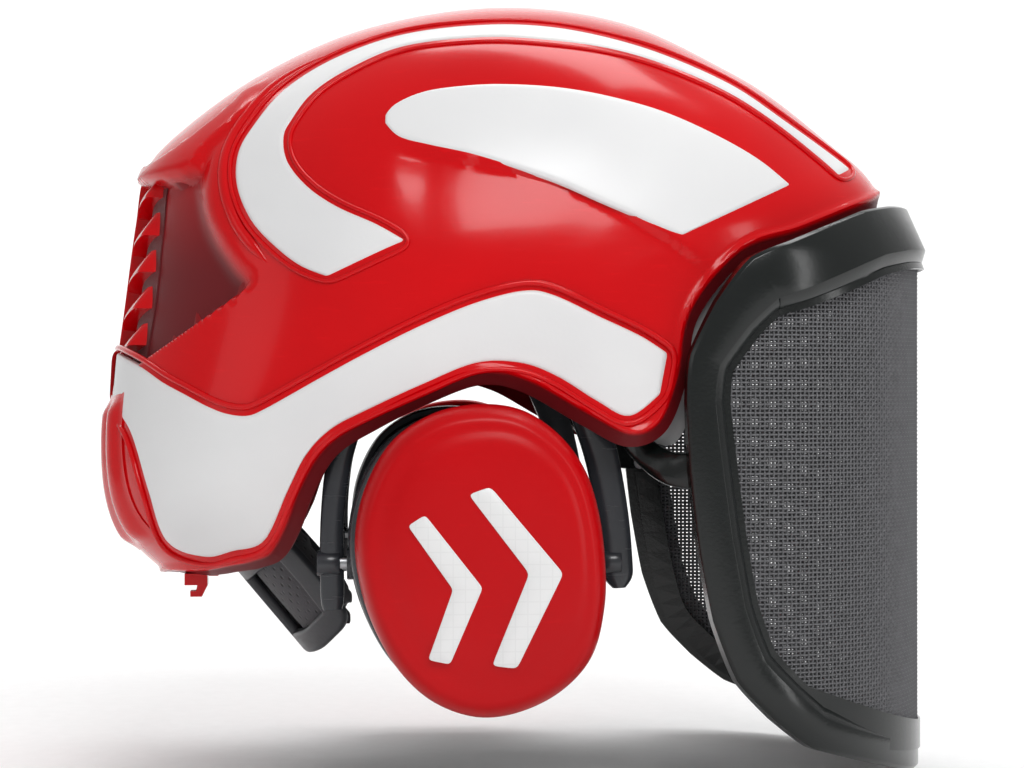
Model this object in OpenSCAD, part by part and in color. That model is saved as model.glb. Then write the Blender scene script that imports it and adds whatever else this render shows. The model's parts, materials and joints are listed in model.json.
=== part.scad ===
// Forestry helmet: hard outer shell with pressed-in panels, inner shell, head basket,
// flip-up mesh visor and two ear cups on swing-out yokes.
// +X is forward, +Y is the wearer's left and +Z is up. The origin is the centre of the head
// opening, where the wearer's head sits.

/* [Shell] */
// Greatest half width of the outer shell
shell_half_w = 104; // [102:0.5:106]
// Wall of the outer shell
shell_t = 3; // [2.5:0.1:3.2]
// Wall of the inner shell
liner_t = 2.4; // [2:0.1:2.6]
// Distance from the outer shell's skin to the inner shell's skin
liner_gap = 12; // [11.6:0.1:12.4]

/* [Visor] */
// Furthest reach of the visor in front of the origin
visor_reach = 151; // [148:1:154]
// Half width of the visor at its side bars
visor_half_w = 104.5; // [104:0.5:106]
// Thickness of the visor frame's bar
frame_t = 7; // [6:0.5:8]
// Height of the visor's pivot above the origin
visor_pivot_z = 21; // [20:0.5:22]

/* [Ear cups] */
// Distance from the centre plane to the cap's outer face
cup_face_y = 122; // [119:0.5:124]
// Depth of the cup's black back
cup_depth = 23; // [22:0.5:24]
// Height of the hinge that the yoke swings on
yoke_hinge_z = 5; // [4:0.5:6]

/* [Head basket] */
// Half length of the headband
band_half_l = 98; // [94:1:100]
// Half width of the headband
band_half_w = 79; // [76:1:80]
// Height of the headband's strip
band_h = 24; // [20:1:28]
// Upward tilt of the headband towards the brow, in degrees
band_tilt = 11; // [8:0.5:12]

/* [Hidden] */

SHELL_RED = "#d0000a";
DARK_RED = "#74191e";
PANEL_WHITE = "#dcdcdc";
LINER_GREY = "#c9c9c9";
FRAME_BLACK = "#1d2221";
MESH_GREY = "#67676a";
BASKET_GREY = "#4a4b50";
PAD_BLACK = "#2d2b2f";
STEEL = "#a9acb0";
BAND_BLACK = "#232629";

// A fine round for bores, pins and knobs
FN_ROUND = 48;
// Radial room in every hinge
RUNNING = 0.05;

// ---- curves -------------------------------------------------------------------------------
// Smooth curve through points: a Catmull-Rom cubic between each two of them.
function between(a, b, c, d, t) =
    0.5 * (2 * b + (c - a) * t + (2 * a - 5 * b + 4 * c - d) * t * t
        + (3 * b - a - 3 * c + d) * t * t * t);
function open_curve(p, k) = let (n = len(p)) concat(
    [for (i = [0 : n - 2]) for (j = [0 : k - 1])
        between(p[max(i - 1, 0)], p[i], p[i + 1], p[min(i + 2, n - 1)], j / k)], [p[n - 1]]);
function closed_curve(p, k) = let (n = len(p))
    [for (i = [0 : n - 1]) for (j = [0 : k - 1])
        between(p[(i + n - 1) % n], p[i], p[(i + 1) % n], p[(i + 2) % n], j / k)];
function smooth(t) = let (c = min(max(t, 0), 1)) c * c * (3 - 2 * c);
function unit(v) = v / norm(v);
function ellipse_pts(a, b, from, to, n) =
    [for (i = [0 : n]) let (t = from + (to - from) * i / n) [a * cos(t), b * sin(t)]];

// ---- the shell's surface ---------------------------------------------------------------------
// Seen from the side the helmet fills a closed outline about the point skin_c. At x and z the
// half width follows a superellipse between that point (full width) and the outline (none).
skin_c = [-8, 20];
side_outline = [[137, 66], [129, 78], [117, 88], [97, 104], [79, 115], [45, 131], [11, 137.5],
    [-23, 136.5], [-60, 128], [-93, 112.5], [-119, 94], [-134, 78], [-138, 58], [-142, 28],
    [-145, 5], [-147, -20], [-145, -42], [-138, -57], [-122, -72], [-80, -110], [-20, -150],
    [60, -150], [120, -100], [146, -30], [148, 20], [143, 50]];
function turn_of(p) = let (a = atan2(p[1] - skin_c[1], p[0] - skin_c[0])) a < -90 ? a + 360 : a;
reach_table = [for (p = closed_curve(side_outline, 4)) [turn_of(p), norm(p - skin_c)]];
function reach(p) = lookup(turn_of(p), reach_table);
function fullness(z) = 2.15 + 0.5 * smooth((40 - z) / 90);
function half_width(p) = let (n = fullness(p[1]), q = min(norm(p - skin_c) / reach(p), 1))
    shell_half_w * pow(1 - pow(q, n), 1 / n);
function skin_level(x, y, z) = let (n = fullness(z))
    pow(abs(y) / shell_half_w, n) + pow(norm([x, z] - skin_c) / reach([x, z]), n);
function skin_normal(p) = let (e = 0.4, x = p[0], y = p[1], z = p[2]) unit([
    skin_level(x + e, y, z) - skin_level(x - e, y, z),
    skin_level(x, y + e, z) - skin_level(x, y - e, z),
    skin_level(x, y, z + e) - skin_level(x, y, z - e)]);
function lifted(p, lift) = p + skin_normal(p) * lift;
// A point of the side outline, or of one that lies inset mm inside it
function outline_at(turn, inset = 0) =
    skin_c + (lookup(turn, reach_table) - inset) * [cos(turn), sin(turn)];
// A point of the skin at a turn about skin_c and a distance y from the centre plane
function skin_at(turn, y) = let (
    far = lookup(turn, reach_table), d = [cos(turn), sin(turn)],
    n = fullness(skin_c[1] + far * d[1]), r = far * pow(1 - pow(abs(y) / shell_half_w, n), 1 / n),
    p = skin_c + d * r) [p[0], y, p[1]];

// ---- building blocks -----------------------------------------------------------------------------
// Closed plate between two grids of points, a the side that faces outwards.
module plate(a, b) {
    rows = len(a);
    cols = len(a[0]);
    size = rows * cols;
    front = [for (i = [0 : rows - 2]) for (j = [0 : cols - 2]) let (k = i * cols + j)
        each [[k, k + 1, k + cols + 1], [k, k + cols + 1, k + cols]]];
    back = [for (f = front) [f[0] + size, f[2] + size, f[1] + size]];
    border = concat([for (j = [0 : cols - 1]) j],
        [for (i = [1 : rows - 1]) i * cols + cols - 1],
        [for (j = [cols - 2 : -1 : 0]) (rows - 1) * cols + j],
        [for (i = [rows - 2 : -1 : 1]) i * cols]);
    n = len(border);
    edge = [for (i = [0 : n - 1]) let (p = border[i], q = border[(i + 1) % n])
        each [[q, p, p + size], [q, p + size, q + size]]];
    points = concat([for (row = a) each row], [for (row = b) each row]);
    polyhedron(points, concat(front, back, edge), convexity = 8);
}

// Grid of side-view points between an upper and a lower line, from the lower to the upper one.
// near packs the columns towards the upper line, where the skin curls over the top.
function between_lines(upper, lower, i, s, near) =
    lower[i] + (upper[i] - lower[i]) * (near ? 1 - (1 - s) * (1 - s) : s);

// Both halves of a shell between its side-view outline and its rim
function shell_grid(upper, lower, halves, lift) = [for (i = [0 : len(upper) - 1])
    [for (j = [-halves : halves]) let (
        p = between_lines(upper, lower, i, 1 - abs(j) / halves, true),
        y = j == 0 ? 0 : sign(j) * half_width(p)) lifted([p[0], y, p[1]], lift)]];

// One side's patch of skin; side is -1 on the right and 1 on the left
function patch_grid(upper, lower, cols, side, lift) = [for (i = [0 : len(upper) - 1])
    [for (j = [0 : cols]) let (
        p = between_lines(upper, lower, i, side < 0 ? j / cols : 1 - j / cols, false))
        lifted([p[0], side * half_width(p), p[1]], lift)]];
module skin_patch(upper, lower, side, top = 0.8, sunk = 0.4, k = 2, cols = 4) {
    up = open_curve(upper, k);
    low = open_curve(lower, k);
    plate(patch_grid(up, low, cols, side, top), patch_grid(up, low, cols, side, -sunk));
}

// Strip over the back of the shell. Its half width and turn follow the fraction s along it;
// sweep turns its edges ahead of its middle, which makes an arrow.
module back_patch(turns, halves, top, sunk, sweep = 0, rows = 10, cols = 8) {
    function spot(s, t, lift) = lifted(skin_at(turns[0] + (turns[1] - turns[0]) * s
        - sweep * abs(t), t * (halves[0] + (halves[1] - halves[0]) * s)), lift);
    function sheet(lift) = [for (i = [0 : rows]) [for (j = [-cols : cols])
        spot(i / rows, j / cols, lift)]];
    plate(sheet(top), sheet(-sunk));
}

// Closed solid through rings of points, each ring the same length
module loft(rings) {
    n = len(rings[0]);
    last = len(rings) - 1;
    wall = [for (i = [0 : last - 1]) for (j = [0 : n - 1])
        let (a = i * n + j, b = i * n + (j + 1) % n)
        each [[a, b, b + n], [a, b + n, a + n]]];
    polyhedron([for (r = rings) each r], concat(wall, [[for (j = [n - 1 : -1 : 0]) j]],
        [[for (j = [0 : n - 1]) last * n + j]]), convexity = 6);
}

// Closed loop: rings of points joined end to end
module loop_solid(rings) {
    n = len(rings[0]);
    m = len(rings);
    polyhedron([for (r = rings) each r], [for (i = [0 : m - 1]) for (j = [0 : n - 1])
        let (a = i * n + j, b = i * n + (j + 1) % n,
            c = ((i + 1) % m) * n + j, d = ((i + 1) % m) * n + (j + 1) % n)
        each [[a, b, d], [a, d, c]]], convexity = 6);
}

// Round bar along Y or X, from one coordinate to another
module bar_y(x, y0, y1, z, r) {
    translate([x, min(y0, y1), z]) rotate([-90, 0, 0])
        cylinder(r = r, h = abs(y1 - y0), $fn = FN_ROUND);
}
module bar_x(x0, x1, y, z, r) {
    translate([x0, y, z]) rotate([0, 90, 0]) cylinder(r = r, h = x1 - x0, $fn = FN_ROUND);
}
// Side-view outline given thickness along Y, between y0 and y1
module side_plate(points, y0, y1) {
    translate([0, max(y0, y1), 0]) rotate([90, 0, 0])
        linear_extrude(abs(y1 - y0)) polygon(points);
}
// Outline of a strap of the given width along a middle line, square at its ends
function strap_outline(mid, w) = let (n = len(mid),
    side = [for (i = [0 : n - 1]) let (d = unit(mid[min(i + 1, n - 1)] - mid[max(i - 1, 0)]))
        [-d[1], d[0]] * w / 2])
    concat([for (i = [0 : n - 1]) mid[i] + side[i]], [for (i = [n - 1 : -1 : 0]) mid[i] - side[i]]);

// ---- shells --------------------------------------------------------------------------------
// Turns about skin_c along the centre plane, front to back, and the rim point paired with each
shell_turns = [17.6, 22.4, 28.6, 38.7, 47.5, 56, 64.5, 72.7, 80.8, 90, 97.3, 106.3, 115.7, 124.9,
    132.6, 142.6, 155.3, 168, 176.6, 186.3, 196.1, 204.4, 211, 217.6];
shell_rim = [[135.4, 65], [127, 61], [114, 56], [94, 48], [74, 41], [58, 22], [53.5, 1],
    [46, -16], [33, -21], [17, -13.5], [-2, -3], [-16, -0.5], [-33, -6.5], [-50, -15],
    [-64, -24], [-72, -37], [-77, -50], [-83, -60], [-91, -64], [-99, -66], [-107, -68],
    [-114, -69], [-119, -69.5], [-122.5, -69.8]];
liner_rim = [[125.4, 60.6], [117, 57.5], [106, 53.5], [91, 47], [75, 36], [64, 18], [58, -2],
    [50, -20], [38, -16], [30, 2], [14, 15], [-8, 19], [-34, 19], [-58, 16],
    [-70, 4], [-75, -12], [-78, -25], [-84, -35], [-92, -38.5], [-99, -39], [-106, -39],
    [-113, -39], [-121, -38.8], [-129.4, -38.4]];
SHELL_HALVES = 14;

module outer_shell() color(SHELL_RED) {
    top = [for (t = open_curve(shell_turns, 2)) outline_at(t)];
    rim = open_curve(shell_rim, 2);
    plate(shell_grid(top, rim, SHELL_HALVES, 0), shell_grid(top, rim, SHELL_HALVES, -shell_t));
}

// The inner shell is the same form, liner_gap smaller all round, over these turns front to back.
liner_turns = [17, 206];
LINER_HALVES = 8;
function liner_spot(p, thin) = let (d = liner_gap, n = fullness(p[1]), full = reach(p) - d,
    q = min(norm(p - skin_c) / full, 1), flat = skin_c + (p - skin_c) * (full - thin) / full)
    [flat[0], (shell_half_w - d - thin) * pow(1 - pow(q, n), 1 / n), flat[1]];
function liner_grid(thin) = let (rim = open_curve(liner_rim, 2), last = len(rim) - 1,
        step = (liner_turns[1] - liner_turns[0]) / last,
        top = [for (i = [0 : last]) outline_at(liner_turns[0] + step * i, liner_gap)])
    [for (i = [0 : last]) [for (j = [-LINER_HALVES : LINER_HALVES]) let (
        w = liner_spot(between_lines(top, rim, i, 1 - abs(j) / LINER_HALVES, true), thin))
        [w[0], j == 0 ? 0 : sign(j) * w[1], w[2]]]];
module inner_shell() color(LINER_GREY) plate(liner_grid(0), liner_grid(liner_t));

// Four posts and screws hold the two shells together above the ears.
post_spots = [[-70, 50], [48, 62]];
module at_posts() {
    for (p = post_spots) for (side = [-1, 1])
        translate([p[0], side * (half_width(p) - liner_gap), p[1]])
            rotate([side * 90, 0, 0]) children();
}
module shell_spacers() color(LINER_GREY) at_posts() translate([0, 0, -8.6]) difference() {
    cylinder(r = 5, h = 6.6, $fn = FN_ROUND);
    translate([0, 0, -1]) cylinder(r = 2, h = 9, $fn = FN_ROUND);
}
module shell_screws() color(STEEL) at_posts() {
    translate([0, 0, -9]) cylinder(r = 1.9, h = 13, $fn = FN_ROUND);
    translate([0, 0, 4]) difference() {
        cylinder(r = 3.6, h = 2.2, $fn = FN_ROUND);
        translate([0, 0, 1]) cylinder(r = 1.7, h = 3, $fn = 6);
    }
}

// ---- pressed-in panels -----------------------------------------------------------------------
band_upper = [[-142, 11], [-131, 6], [-123, 1], [-115, -3], [-107, -7], [-100, -9.5],
    [-93, -10], [-87, -7.5], [-77, -2], [-68, 3], [-54, 10.5], [-36, 19.5], [-18, 27],
    [-2, 31], [8, 29.5], [23, 22.5], [37, 16], [46.5, 10]];
band_lower = [[-143.5, -7], [-135, -17], [-128, -37], [-122, -55], [-109, -59.5], [-99, -57],
    [-88, -53], [-80, -36], [-74, -24], [-66, -15.5], [-55, -9.5], [-35, -0.5], [-18, 6.5],
    [-3, 6.5], [9, 2], [22, -6], [33, -11], [44, -3]];
module side_band(side) color(PANEL_WHITE) skin_patch(band_upper, band_lower, side);
module side_band_right() side_band(-1);
module side_band_left() side_band(1);

stripe_outer = [[-66, 35], [-76, 39], [-85, 46], [-93, 55], [-98, 67], [-98, 79], [-93, 89],
    [-83, 102], [-66, 113.5], [-42, 122.5], [-14, 126], [10, 125.5], [34, 121], [56, 114.5],
    [76, 106], [94, 94], [110, 83.5], [120, 76]];
stripe_inner = [[-40, 47], [-50, 53], [-63, 59], [-73, 66], [-80, 75], [-81.5, 84], [-79, 90],
    [-72, 100], [-60, 108.5], [-41, 117], [-14, 120], [9, 119], [32, 116], [54, 110],
    [73, 102], [90, 91.5], [105, 80], [113, 72.5]];
module crown_stripe(side) color(PANEL_WHITE) skin_patch(stripe_outer, stripe_inner, side);
module crown_stripe_right() crown_stripe(-1);
module crown_stripe_left() crown_stripe(1);

blade_upper = [[-48, 90], [-44, 95], [-34, 99.5], [-20, 101.5], [-6, 102], [12, 101],
    [30, 98], [49, 93], [67.5, 85], [82, 77], [93, 68]];
blade_lower = [[-48, 88], [-43, 82.5], [-33, 79.5], [-20, 76.5], [-7, 72.5], [9, 67],
    [24, 60.5], [36, 55.5], [45, 51.5], [49.5, 50], [52, 49.5]];
module blade_panel(side) color(PANEL_WHITE) skin_patch(blade_upper, blade_lower, side);
module blade_panel_right() blade_panel(-1);
module blade_panel_left() blade_panel(1);

// ---- back of the shell ---------------------------------------------------------------------------
vent_turns = [154, 186];
module rear_vent_panel() color(DARK_RED) back_patch(vent_turns, [20, 26], 1.2, 0.4);
LOUVRES = 5;
module vent_louvres() color(SHELL_RED) for (i = [0 : LOUVRES - 1]) {
    start = vent_turns[0] + 2 + i * 5.8;
    back_patch([start, start + 3], [15 + i * 2, 16 + i * 2], 4, -1.2, 5, 1, 3);
}
module rear_bumper() color(SHELL_RED) back_patch([190, 210], [44, 56], 2, 0.4, 0, 6, 6);

// Small hooks under the rear rim take the edge of a rain cape.
module cape_hooks() color(SHELL_RED) for (side = [-1, 1])
    side_plate([[-117, -66], [-109, -66], [-109, -70], [-111, -74], [-115, -74], [-115, -72],
        [-113, -72], [-112.6, -70], [-117, -70]], side * 44, side * 50);

// ---- head basket ---------------------------------------------------------------------------------
band_z = 30;
band_wall = 2.4;
module in_band_plane() translate([0, 0, band_z]) rotate([0, -band_tilt, 0]) children();
module oval_ring(grow, wall, h, from = 0, to = 360) {
    full = to - from >= 360;
    outer = ellipse_pts(band_half_l + grow, band_half_w + grow, from, to, 72);
    inner = ellipse_pts(band_half_l + grow - wall, band_half_w + grow - wall, from, to, 72);
    translate([0, 0, -h / 2]) linear_extrude(h) {
        if (full) difference() {
            polygon([for (i = [0 : 71]) outer[i]]);
            polygon([for (i = [0 : 71]) inner[i]]);
        }
        else polygon(concat(outer, [for (i = [72 : -1 : 0]) inner[i]]));
    }
}
module headband() color(BASKET_GREY) in_band_plane() oval_ring(0, band_wall, band_h);
module brow_pad() color(PAD_BLACK) in_band_plane()
    oval_ring(-band_wall - 0.1, 7, band_h + 8, -55, 55);

// Clips hold the headband to the inner shell: [x, inner y, outer y, z] on one side
clip_spots = [[50, 67.5, 82, 40], [-60, 61.5, 80, 18]];
module basket_clips() color(BASKET_GREY) for (c = clip_spots) for (side = [-1, 1])
    translate([c[0] - 6, side > 0 ? c[1] : -c[2], c[3] - 4]) cube([12, c[2] - c[1], 8]);

// Two webbing arcs cross the head side to side, and one runs front to back.
strap_w = 20;
strap_t = 1.6;
CROWN_Z = 101;
module webbing_arc(a, h) {
    outer = ellipse_pts(a, h, 0, 180, 40);
    inner = ellipse_pts(a - strap_t, h - strap_t, 0, 180, 40);
    rotate([90, 0, 0]) translate([0, 0, -strap_w / 2]) linear_extrude(strap_w)
        polygon(concat(outer, [for (i = [40 : -1 : 0]) inner[i]]));
}
module crown_straps() color(PAD_BLACK) {
    for (x = [-36, 34]) let (
        y = band_half_w * sqrt(1 - pow(x / band_half_l, 2)) - band_wall - 0.6,
        z = band_z + x * tan(band_tilt) - 4)
        translate([x, 0, z]) rotate([0, 0, 90]) webbing_arc(y, CROWN_Z - z);
    translate([0, 0, band_z]) rotate([0, -band_tilt, 0])
        webbing_arc(band_half_l - band_wall - 8, (CROWN_Z - band_z) - 0.4);
}
module crown_pad() color(PAD_BLACK) in_band_plane() translate([0, 0, 56])
    linear_extrude(7) polygon(ellipse_pts(28, 24, 0, 351, 39));

// The nape cradle wraps the back of the neck on a leaning ring.
nape_o = [-54, 0, -22];
nape_lean = 40;
nape_r = 62;
nape_h = 46;
nape_half_turn = 50;
module in_nape_plane() translate(nape_o) rotate([0, -nape_lean, 0]) children();
module nape_ring(r0, r1, z0, z1, half_turn) rotate([0, 0, 180 - half_turn])
    rotate_extrude(angle = 2 * half_turn, $fn = 96)
        translate([r0, z0]) square([r1 - r0, z1 - z0]);
module nape_cradle() color(BASKET_GREY) in_nape_plane() difference() {
    nape_ring(nape_r, nape_r + 4, -nape_h, 0, nape_half_turn);
    for (side = [-1, 1]) rotate([0, 0, side * 26])
        nape_ring(nape_r - 1, nape_r + 5, -nape_h + 10, -10, 15);
}
module nape_pad() color(PAD_BLACK) in_nape_plane()
    nape_ring(nape_r - 8, nape_r - 0.4, -nape_h - 3, 2, nape_half_turn + 2);

// Stays hang the cradle from the back of the headband.
module nape_stays() color(BASKET_GREY) for (side = [-1, 1])
    side_plate(strap_outline([[-72, 16], [-79, -8], [-85, -30], [-88, -50]], 12),
        side * 50, side * 53);

// ---- size adjuster -------------------------------------------------------------------------------
// A knob at the nape turns a pinion between two toothed strips that pull in from both sides.
adj_z = -42;
adj_x = -107;
tooth_module = 1;
PINION_TEETH = 12;
pitch_r = tooth_module * PINION_TEETH / 2;
gear_w = 4;
module ratchet_housing() color(BASKET_GREY) difference() {
    union() {
        translate([adj_x - 4, -26, adj_z - 17]) cube([9, 52, 34]);
        translate([adj_x - 2, -14, adj_z - 26]) cube([5.5, 28, 10]);
    }
    translate([adj_x - gear_w / 2 - 0.6, -27, adj_z - 13]) cube([gear_w + 1.2, 54, 26]);
    bar_x(adj_x - 10, adj_x + 4, 0, adj_z, 3.05);
}
module ratchet_knob() color(BAND_BLACK) difference() {
    union() {
        bar_x(adj_x - 16, adj_x - 4.6, 0, adj_z, 15);
        for (i = [0 : 15]) rotate_about_knob(i * 22.5)
            bar_x(adj_x - 15, adj_x - 6, 0, adj_z + 15, 1.4);
    }
    bar_x(adj_x - 17, adj_x - 12, 0, adj_z, 9);
}
module rotate_about_knob(a) translate([0, 0, adj_z]) rotate([a, 0, 0])
    translate([0, 0, -adj_z]) children();
function pinion_profile() = [for (i = [0 : PINION_TEETH - 1]) let (a = i * 360 / PINION_TEETH)
    for (t = [[pitch_r - 1.25, -9.4], [pitch_r, -6.4], [pitch_r + 0.75, -3.2],
        [pitch_r + 0.75, 3.2], [pitch_r, 6.4], [pitch_r - 1.25, 9.4]])
        [t[0] * cos(a + t[1]), t[0] * sin(a + t[1])]];
module ratchet_pinion() color(STEEL) {
    translate([adj_x - gear_w / 2, 0, adj_z]) rotate([0, 90, 0])
        linear_extrude(gear_w) polygon(pinion_profile());
    bar_x(adj_x - 4.6, adj_x - gear_w / 2, 0, adj_z, 3);
}
// Toothed strip: side -1 reaches to the right above the pinion, side 1 to the left below it.
pitch = PI * tooth_module;
module rack(side) color(BASKET_GREY) translate([adj_x - gear_w / 2, 0, adj_z])
    rotate([side < 0 ? 0 : 180, 0, 0]) translate([0, 0, pitch_r]) rotate([90, 0, 90])
        linear_extrude(gear_w) union() {
            translate([-46, 1.25]) square([62, 4]);
            for (i = [-5 : 4]) translate([(i + 0.5) * pitch, 0])
                polygon([[-1.1, 1.4], [-0.62, 0], [-0.32, -0.75], [0.32, -0.75], [0.62, 0],
                    [1.1, 1.4]]);
        }
module adjuster_rack_right() rack(-1);
module adjuster_rack_left() rack(1);

// ---- visor ------------------------------------------------------------------------------------
// In plan the visor follows a superellipse from its side bars round to the front.
visor_x0 = 50;
VISOR_N = 2.3;
function visor_width(x) = let (q = min(max((x - visor_x0) / (visor_reach - visor_x0), 0), 1))
    visor_half_w * pow(1 - pow(q, VISOR_N), 1 / VISOR_N);
function visor_normal(x) = let (e = 0.05, g = (visor_width(x + e) - visor_width(x - e)) / 2 / e)
    x > visor_reach - 0.4 ? [1, 0] : unit([-g, 1]);
// Middle line of the frame in side view with the bar's width, from the middle of the brow down
// the side to the middle of the chin
frame_line = [[151, 53, 19], [146, 51.5, 19], [136, 49, 19], [122, 45, 19], [106, 40, 19],
    [91, 35, 19], [76, 29.5, 18.5], [66, 20, 16], [59, 8, 13.5], [58, -5, 13], [60, -28, 14.5],
    [63.5, -52, 15], [68, -76, 15], [74, -94, 15], [85, -105.5, 15], [97, -115, 14.5],
    [112, -122.5, 13.5], [128, -127.5, 13], [141, -130.5, 13], [148, -132.5, 13],
    [151, -133.5, 13]];
frame_half = open_curve(frame_line, 3);
frame_steps = len(frame_half) - 1;
function frame_spot(i) = let (p = frame_half[i]) [p[0], -visor_width(p[0]), p[1]];
// Ring of the bar's section: across is the bar's own width direction on the visor's surface
function frame_ring(i, w, t0, t1, shift) = let (
    p = frame_spot(i), a = frame_spot(max(i - 1, 0)), b = frame_spot(min(i + 1, frame_steps)),
    end = i == 0 || i == frame_steps, n2 = visor_normal(p[0]),
    out = end ? [1, 0, 0] : [n2[0], -n2[1], 0],
    along = end ? [0, i == 0 ? -1 : 1, 0] : unit(b - a), across = unit(cross(along, out)),
    c = w / 2, m = (t1 - t0) * 0.28)
    [for (s = [[-c, t0], [c, t0], [c, t1 - m], [c - m * 1.6, t1], [-c + m * 1.6, t1],
        [-c, t1 - m]]) p + across * (s[0] + shift) + out * s[1]];
module visor_loop(dw, t0, t1, shift) {
    right = [for (i = [0 : frame_steps]) frame_ring(i, frame_half[i][2] + dw, t0, t1, shift)];
    left = [for (i = [frame_steps - 1 : -1 : 1]) [for (p = right[i]) [p[0], -p[1], p[2]]]];
    loop_solid(concat(right, left));
}
module visor_frame() color(FRAME_BLACK) visor_loop(0, -frame_t / 2, frame_t / 2, 0);

// Upper and lower edge of the frame's opening at each x, for what fills it
opening_top = [[62, 6], [66, 13], [71, 20], [77, 25], [91, 31], [106, 35.5], [122, 40.5],
    [136, 44.5], [151, 48]];
opening_low = [[62, -36], [66, -58], [71, -80], [77, -94], [85, -101.5], [97, -111],
    [112, -118.5], [128, -123.5], [141, -126.5], [151, -128.5]];
// A curved sheet inside the visor, forward of x0, from one height to another at each x
SHEET_STEPS = 22;
module visor_sheet(inset, t, x0, low, high) {
    sheet_xs = [for (i = [0 : SHEET_STEPS]) x0 + (visor_reach - x0) * sin(90 * i / SHEET_STEPS)];
    function spot(x, side, d, z) = let (n = visor_normal(x))
        [x - n[0] * d, side * (visor_width(x) - n[1] * d), z];
    function column(x, side, d) = [spot(x, side, d, low(x)), spot(x, side, d, high(x))];
    function sheet(d) = concat([for (x = sheet_xs) column(x, -1, d)],
        [for (i = [SHEET_STEPS - 1 : -1 : 0]) column(sheet_xs[i], 1, d)]);
    plate(sheet(inset), sheet(inset + t));
}
function opening_z_low(x) = lookup(x, opening_low);
function opening_z_high(x) = lookup(x, opening_top);
guard_top = [[82, -92], [89, -98], [110, -109], [132, -116], [151, -118]];
module visor_mesh() color(MESH_GREY) visor_sheet(frame_t / 2 + 0.3, 0.8, 62.5,
    function (x) opening_z_low(x) - 3, function (x) opening_z_high(x) + 3);
module mesh_retainer() color(FRAME_BLACK) difference() {
    visor_loop(-6, -frame_t / 2 - 3.4, -frame_t / 2 - 1.2, 0);
    for (side = [-1, 1]) translate([50, side > 0 ? 90 : -102, -36]) cube([14, 12, 14.5]);
}
module bottom_guard() color(FRAME_BLACK) visor_sheet(frame_t / 2 + 1.4, 1.6, 82,
    function (x) opening_z_low(x) + 3.5,
    function (x) max(lookup(x, guard_top), opening_z_low(x) + 5));

// Each arm starts on a pivot between the two shells, follows the gap down to the front corner,
// passes under the rim there and comes out to the inner face of the side bar.
pivot = [15, visor_pivot_z];
pivot_r = 4;
ARM_T = 3;
arm_hub_y = [92.4, 95.4];
// x, z, inner y and height of the arm at each of its stations
arm_stations = [[20, 13, 92.4, 12], [32, -10, 90.4, 12], [40, -23, 89.4, 11], [49, -28.5, 95.2, 11],
    [57, -29, 97.7, 12]];
module arm_slice(s, side) translate([s[0], side > 0 ? s[2] : -s[2] - ARM_T, s[1] - s[3] / 2])
    cube([3, ARM_T, s[3]]);
module visor_arm(side) color(FRAME_BLACK) difference() {
    union() {
        bar_y(pivot[0], side * arm_hub_y[0], side * arm_hub_y[1], pivot[1], 9);
        for (i = [0 : len(arm_stations) - 2]) hull() {
            arm_slice(arm_stations[i], side);
            arm_slice(arm_stations[i + 1], side);
        }
    }
    bar_y(pivot[0], side * (arm_hub_y[0] - 4), side * (arm_hub_y[1] + 4), pivot[1],
        pivot_r + RUNNING);
}
module visor_arm_right() visor_arm(-1);
module visor_arm_left() visor_arm(1);
module visor_pivot_pins() color(STEEL) for (side = [-1, 1]) {
    bar_y(pivot[0], side * 88.6, side * 100.6, pivot[1], pivot_r);
    bar_y(pivot[0], side * (arm_hub_y[1] + 0.3), side * (arm_hub_y[1] + 1.9), pivot[1], 7);
}
module visor_arm_screws() color(STEEL) for (side = [-1, 1]) for (z = [-25.5, -32.5])
    bar_y(58, side * 96.1, side * 97.7, z, 2.2);

// ---- ear cups ------------------------------------------------------------------------------------
cup_c = [-17, -57];
// Outline of the cap about its middle
cup_outline = [[0, 50.5], [14, 48.5], [26, 40.5], [34.5, 29], [39, 15], [41, 0], [41, -15],
    [37, -31.5], [27, -43], [13, -50], [-1, -51.5], [-15, -46.5], [-26, -36.5], [-34, -23],
    [-39, -8], [-40.5, 8], [-37, 24], [-28.5, 38.5], [-15, 47.5]];
cup_curve = closed_curve(cup_outline, 2);
cap_base_y = cup_face_y - 15;
cup_back_y = cap_base_y - cup_depth;
back_shift = [-4.5, 0.5];
BACK_SCALE = 0.94;
function cup_pts(k, shift = [0, 0]) = [for (p = cup_curve) cup_c + shift + p * k];
function cup_ring(k, y) = [for (p = cup_pts(k)) [p[0], y, p[1]]];
module mirrored_to(side) { if (side < 0) mirror([0, 1, 0]) children(); else children(); }

// [outline scale, distance below the outer face] down the cap from its face to its rim
cap_steps = [[0.62, 0], [0.76, 0.5], [0.85, 1.8], [0.93, 4.2], [0.985, 7.5], [1, 11], [0.985, 15]];
module cup_cap(side) color(SHELL_RED) mirrored_to(side)
    loft([for (s = cap_steps) cup_ring(s[0], cup_face_y - s[1])]);
module cup_cap_right() cup_cap(-1);
module cup_cap_left() cup_cap(1);

// Two raised chevrons point forward on the cap's face
chevron_small = [[-40.5, -45.5], [-35, -42], [-16.5, -65.5], [-27, -90], [-34, -88.5], [-26, -66]];
chevron_large = [[-21, -35.5], [-14, -33], [9.5, -61], [-5.5, -91.5], [-13.5, -90.5], [-1.5, -61]];
module chevrons(side) color(PANEL_WHITE) for (outline = [chevron_small, chevron_large])
    side_plate(outline, side * (cup_face_y - 1.4), side * (cup_face_y + 0.5));
module chevrons_right() chevrons(-1);
module chevrons_left() chevrons(1);

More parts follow.
